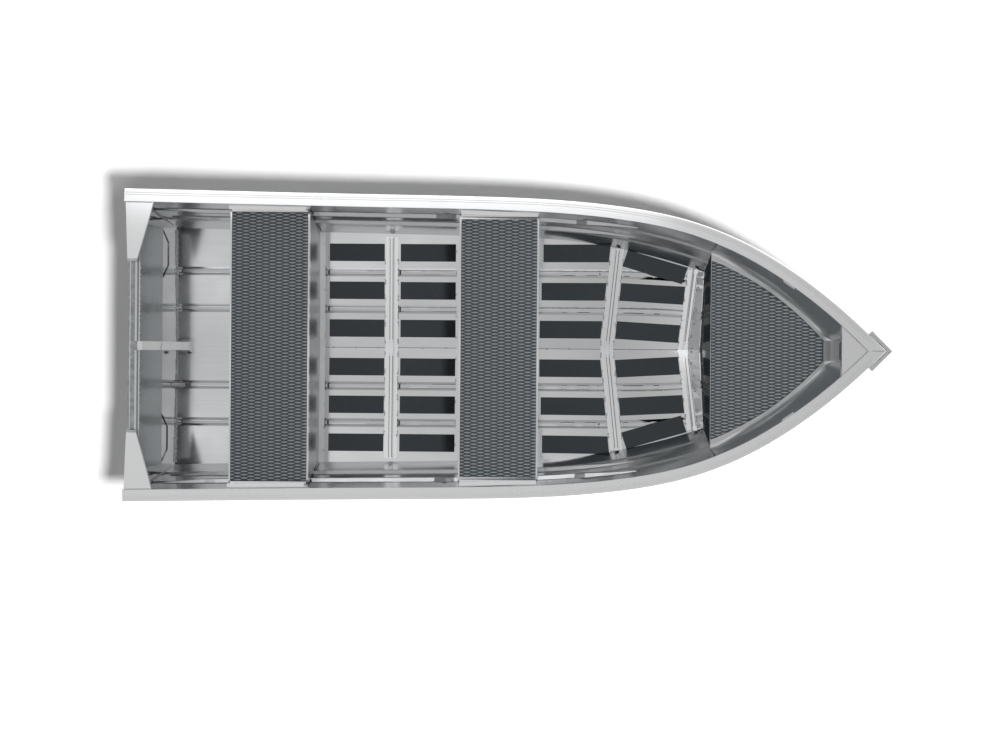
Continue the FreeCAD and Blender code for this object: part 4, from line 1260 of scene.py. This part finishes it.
def makeStage():
    look = stageLook
    material, tree, shader = newMaterial("studioFloorPaint")
    coords = addNode(tree, "TexCoord")
    shrunk = addNode(
        tree, "VectorMath", {"operation": "MULTIPLY"},
        values={1: (1 / look["fade"][0], 1 / look["fade"][1], 0)}, links={0: coords.outputs["Object"]},
    )
    reach = addNode(tree, "VectorMath", {"operation": "LENGTH"}, links={0: shrunk})
    fade = addNode(
        tree, "MapRange",
        values={"From Min": 1.0, "From Max": 1 + look["fadeReach"], "To Max": look["whiteLift"]},
        links={"Value": reach.outputs["Value"]},
    )
    path = addNode(tree, "LightPath")
    seen = addNode(
        tree, "Math", {"operation": "MAXIMUM"},
        links={0: path.outputs["Is Camera Ray"], 1: path.outputs["Is Glossy Ray"]},
    )
    lift = addNode(tree, "Math", {"operation": "MULTIPLY"}, links={0: seen, 1: fade})
    values = {
        "Base Color": linearColor(look["floorColor"]), "Roughness": look["roughness"],
        "Specular IOR Level": 0.0, "Emission Color": (1, 1, 1, 1),
    }
    setSockets(tree, shader, values, {"Emission Strength": lift})
    half = look["floorSize"] / 2
    floor = studioSheet("studioFloor", (-half, -half), (half, half), 0, material)
    floor.location.z = cadBox[0][2] - look["sink"]


makeStage()

# Studio light: one lamp over the starboard bow throws the drop shadow to port and aft, and an even
# world fills it. The metal sees a tent instead, whose brightness is set by how far a direction leans
# across the boat (port is positive) and along it (the bow is positive), as pairs of lean and level.
lightLook = {
    "across": (
        (-1.5, 0.50), (-0.75, 0.80), (-0.35, 0.55), (-0.20, 0.56), (-0.12, 0.70), (-0.05, 0.62),
        (-0.03, 0.72), (-0.01, 0.98), (0.0, 0.90), (0.02, 0.72), (0.045, 0.62), (0.12, 0.72),
        (0.20, 0.66), (0.35, 0.55), (0.75, 0.70), (1.5, 0.45),
    ),
    "along": (
        (-1.5, 0.45), (-0.8, 1.2), (-0.5, 1.0), (-0.30, 1.0), (0.06, 1.0), (0.15, 0.90), (0.30, 0.68),
        (0.5, 0.75), (0.8, 1.0), (1.5, 0.30),
    ),
    "spread": 1.5,
    "leastRise": 0.02,
    "fill": 0.27,
    "keyPlace": (1.5, -1.30, 7.5),
    "keyPower": 2750,
    "keyRadius": 0.48,
    "cardLow": (-2.1, 0.742),
    "cardHigh": (0.80, 1.20),
    "cardHeight": 1.35,
    "cardLevel": 1.35,
}


def addRamp(tree, value, levels):
    spread = lightLook["spread"]
    share = addNode(
        tree, "MapRange", values={"From Min": -spread, "From Max": spread}, links={"Value": value}
    )
    ramp = addNode(tree, "ValToRGB", links={"Fac": share})
    elements = ramp.color_ramp.elements
    while len(elements) < len(levels):
        elements.new(0.5)
    for element, (lean, level) in zip(elements, levels):
        element.position = 0.5 + lean / spread / 2
        element.color = (level, level, level, 1)
    return ramp


def makeWorld():
    look = lightLook
    world = bpy.data.worlds.new("studioWorld")
    world.use_nodes = True
    tree = world.node_tree
    tree.nodes.clear()
    coords = addNode(tree, "TexCoord")
    way = addNode(tree, "SeparateXYZ", links={"Vector": coords.outputs["Generated"]})
    height = addNode(
        tree, "Math", {"operation": "MAXIMUM"}, values={1: look["leastRise"]}, links={0: way.outputs["Z"]}
    )
    levels = []
    for axis, key in (("X", "along"), ("Y", "across")):
        lean = addNode(tree, "Math", {"operation": "DIVIDE"}, links={0: way.outputs[axis], 1: height})
        levels.append(addRamp(tree, lean, look[key]))
    tent = addNode(tree, "VectorMath", {"operation": "MULTIPLY"}, links={0: levels[0], 1: levels[1]})
    path = addNode(tree, "LightPath")
    fill = look["fill"]
    light = addNode(
        tree, "Mix", {"data_type": "RGBA"}, values={6: (fill, fill, fill, 1)},
        links={0: path.outputs["Is Glossy Ray"], 7: tent},
    )
    seen = addNode(
        tree, "Mix", {"data_type": "RGBA"}, values={7: (1, 1, 1, 1)},
        links={0: path.outputs["Is Camera Ray"], 6: light.outputs[2]},
    )
    background = addNode(tree, "Background", links={"Color": seen.outputs[2]})
    addNode(tree, "OutputWorld", links={"Surface": background})
    bpy.context.scene.world = world


def makeKey():
    key = bpy.data.lights.new("key", "POINT")
    key.energy = lightLook["keyPower"]
    key.shadow_soft_size = lightLook["keyRadius"]
    keyObject = bpy.data.objects.new("key", key)
    keyObject.location = lightLook["keyPlace"]
    keyObject.visible_glossy = False
    bpy.context.scene.collection.objects.link(keyObject)


# a reflector card over the port gunwale, which only the metal sees
def makeCard():
    look = lightLook
    material, _, glow = newMaterial("reflectorCardWhite", "Emission")
    glow.inputs["Strength"].default_value = look["cardLevel"]
    card = studioSheet("reflectorCard", look["cardLow"], look["cardHigh"], look["cardHeight"], material)
    card.visible_camera = False
    card.visible_diffuse = False
    card.visible_shadow = False
    card.visible_transmission = False


makeWorld()
makeKey()
makeCard()

# The camera looks straight down on the boat, its bow to the right.
cameraLook = {
    "place": (-0.026, -0.008, 6.55),
    "turn": 0.452,
    "focalPixels": 1245,
    "imageWidth": 1000,
    "axisAboveCentre": 25,
    "sensor": 36.0,
    "clipEnd": 100,
}


def makeCamera():
    look = cameraLook
    data = bpy.data.cameras.new("studioCamera")
    data.sensor_width = look["sensor"]
    data.sensor_fit = "HORIZONTAL"
    data.lens = look["focalPixels"] / look["imageWidth"] * look["sensor"]
    data.shift_y = -look["axisAboveCentre"] / look["imageWidth"]
    data.clip_end = look["clipEnd"]
    camera = bpy.data.objects.new("studioCamera", data)
    camera.location = look["place"]
    camera.rotation_euler = (0, 0, math.radians(look["turn"]))
    bpy.context.scene.collection.objects.link(camera)
    bpy.context.scene.camera = camera


makeCamera()
bpy.context.scene.view_settings.view_transform = "Standard"
print("stage: floor, lights and camera")
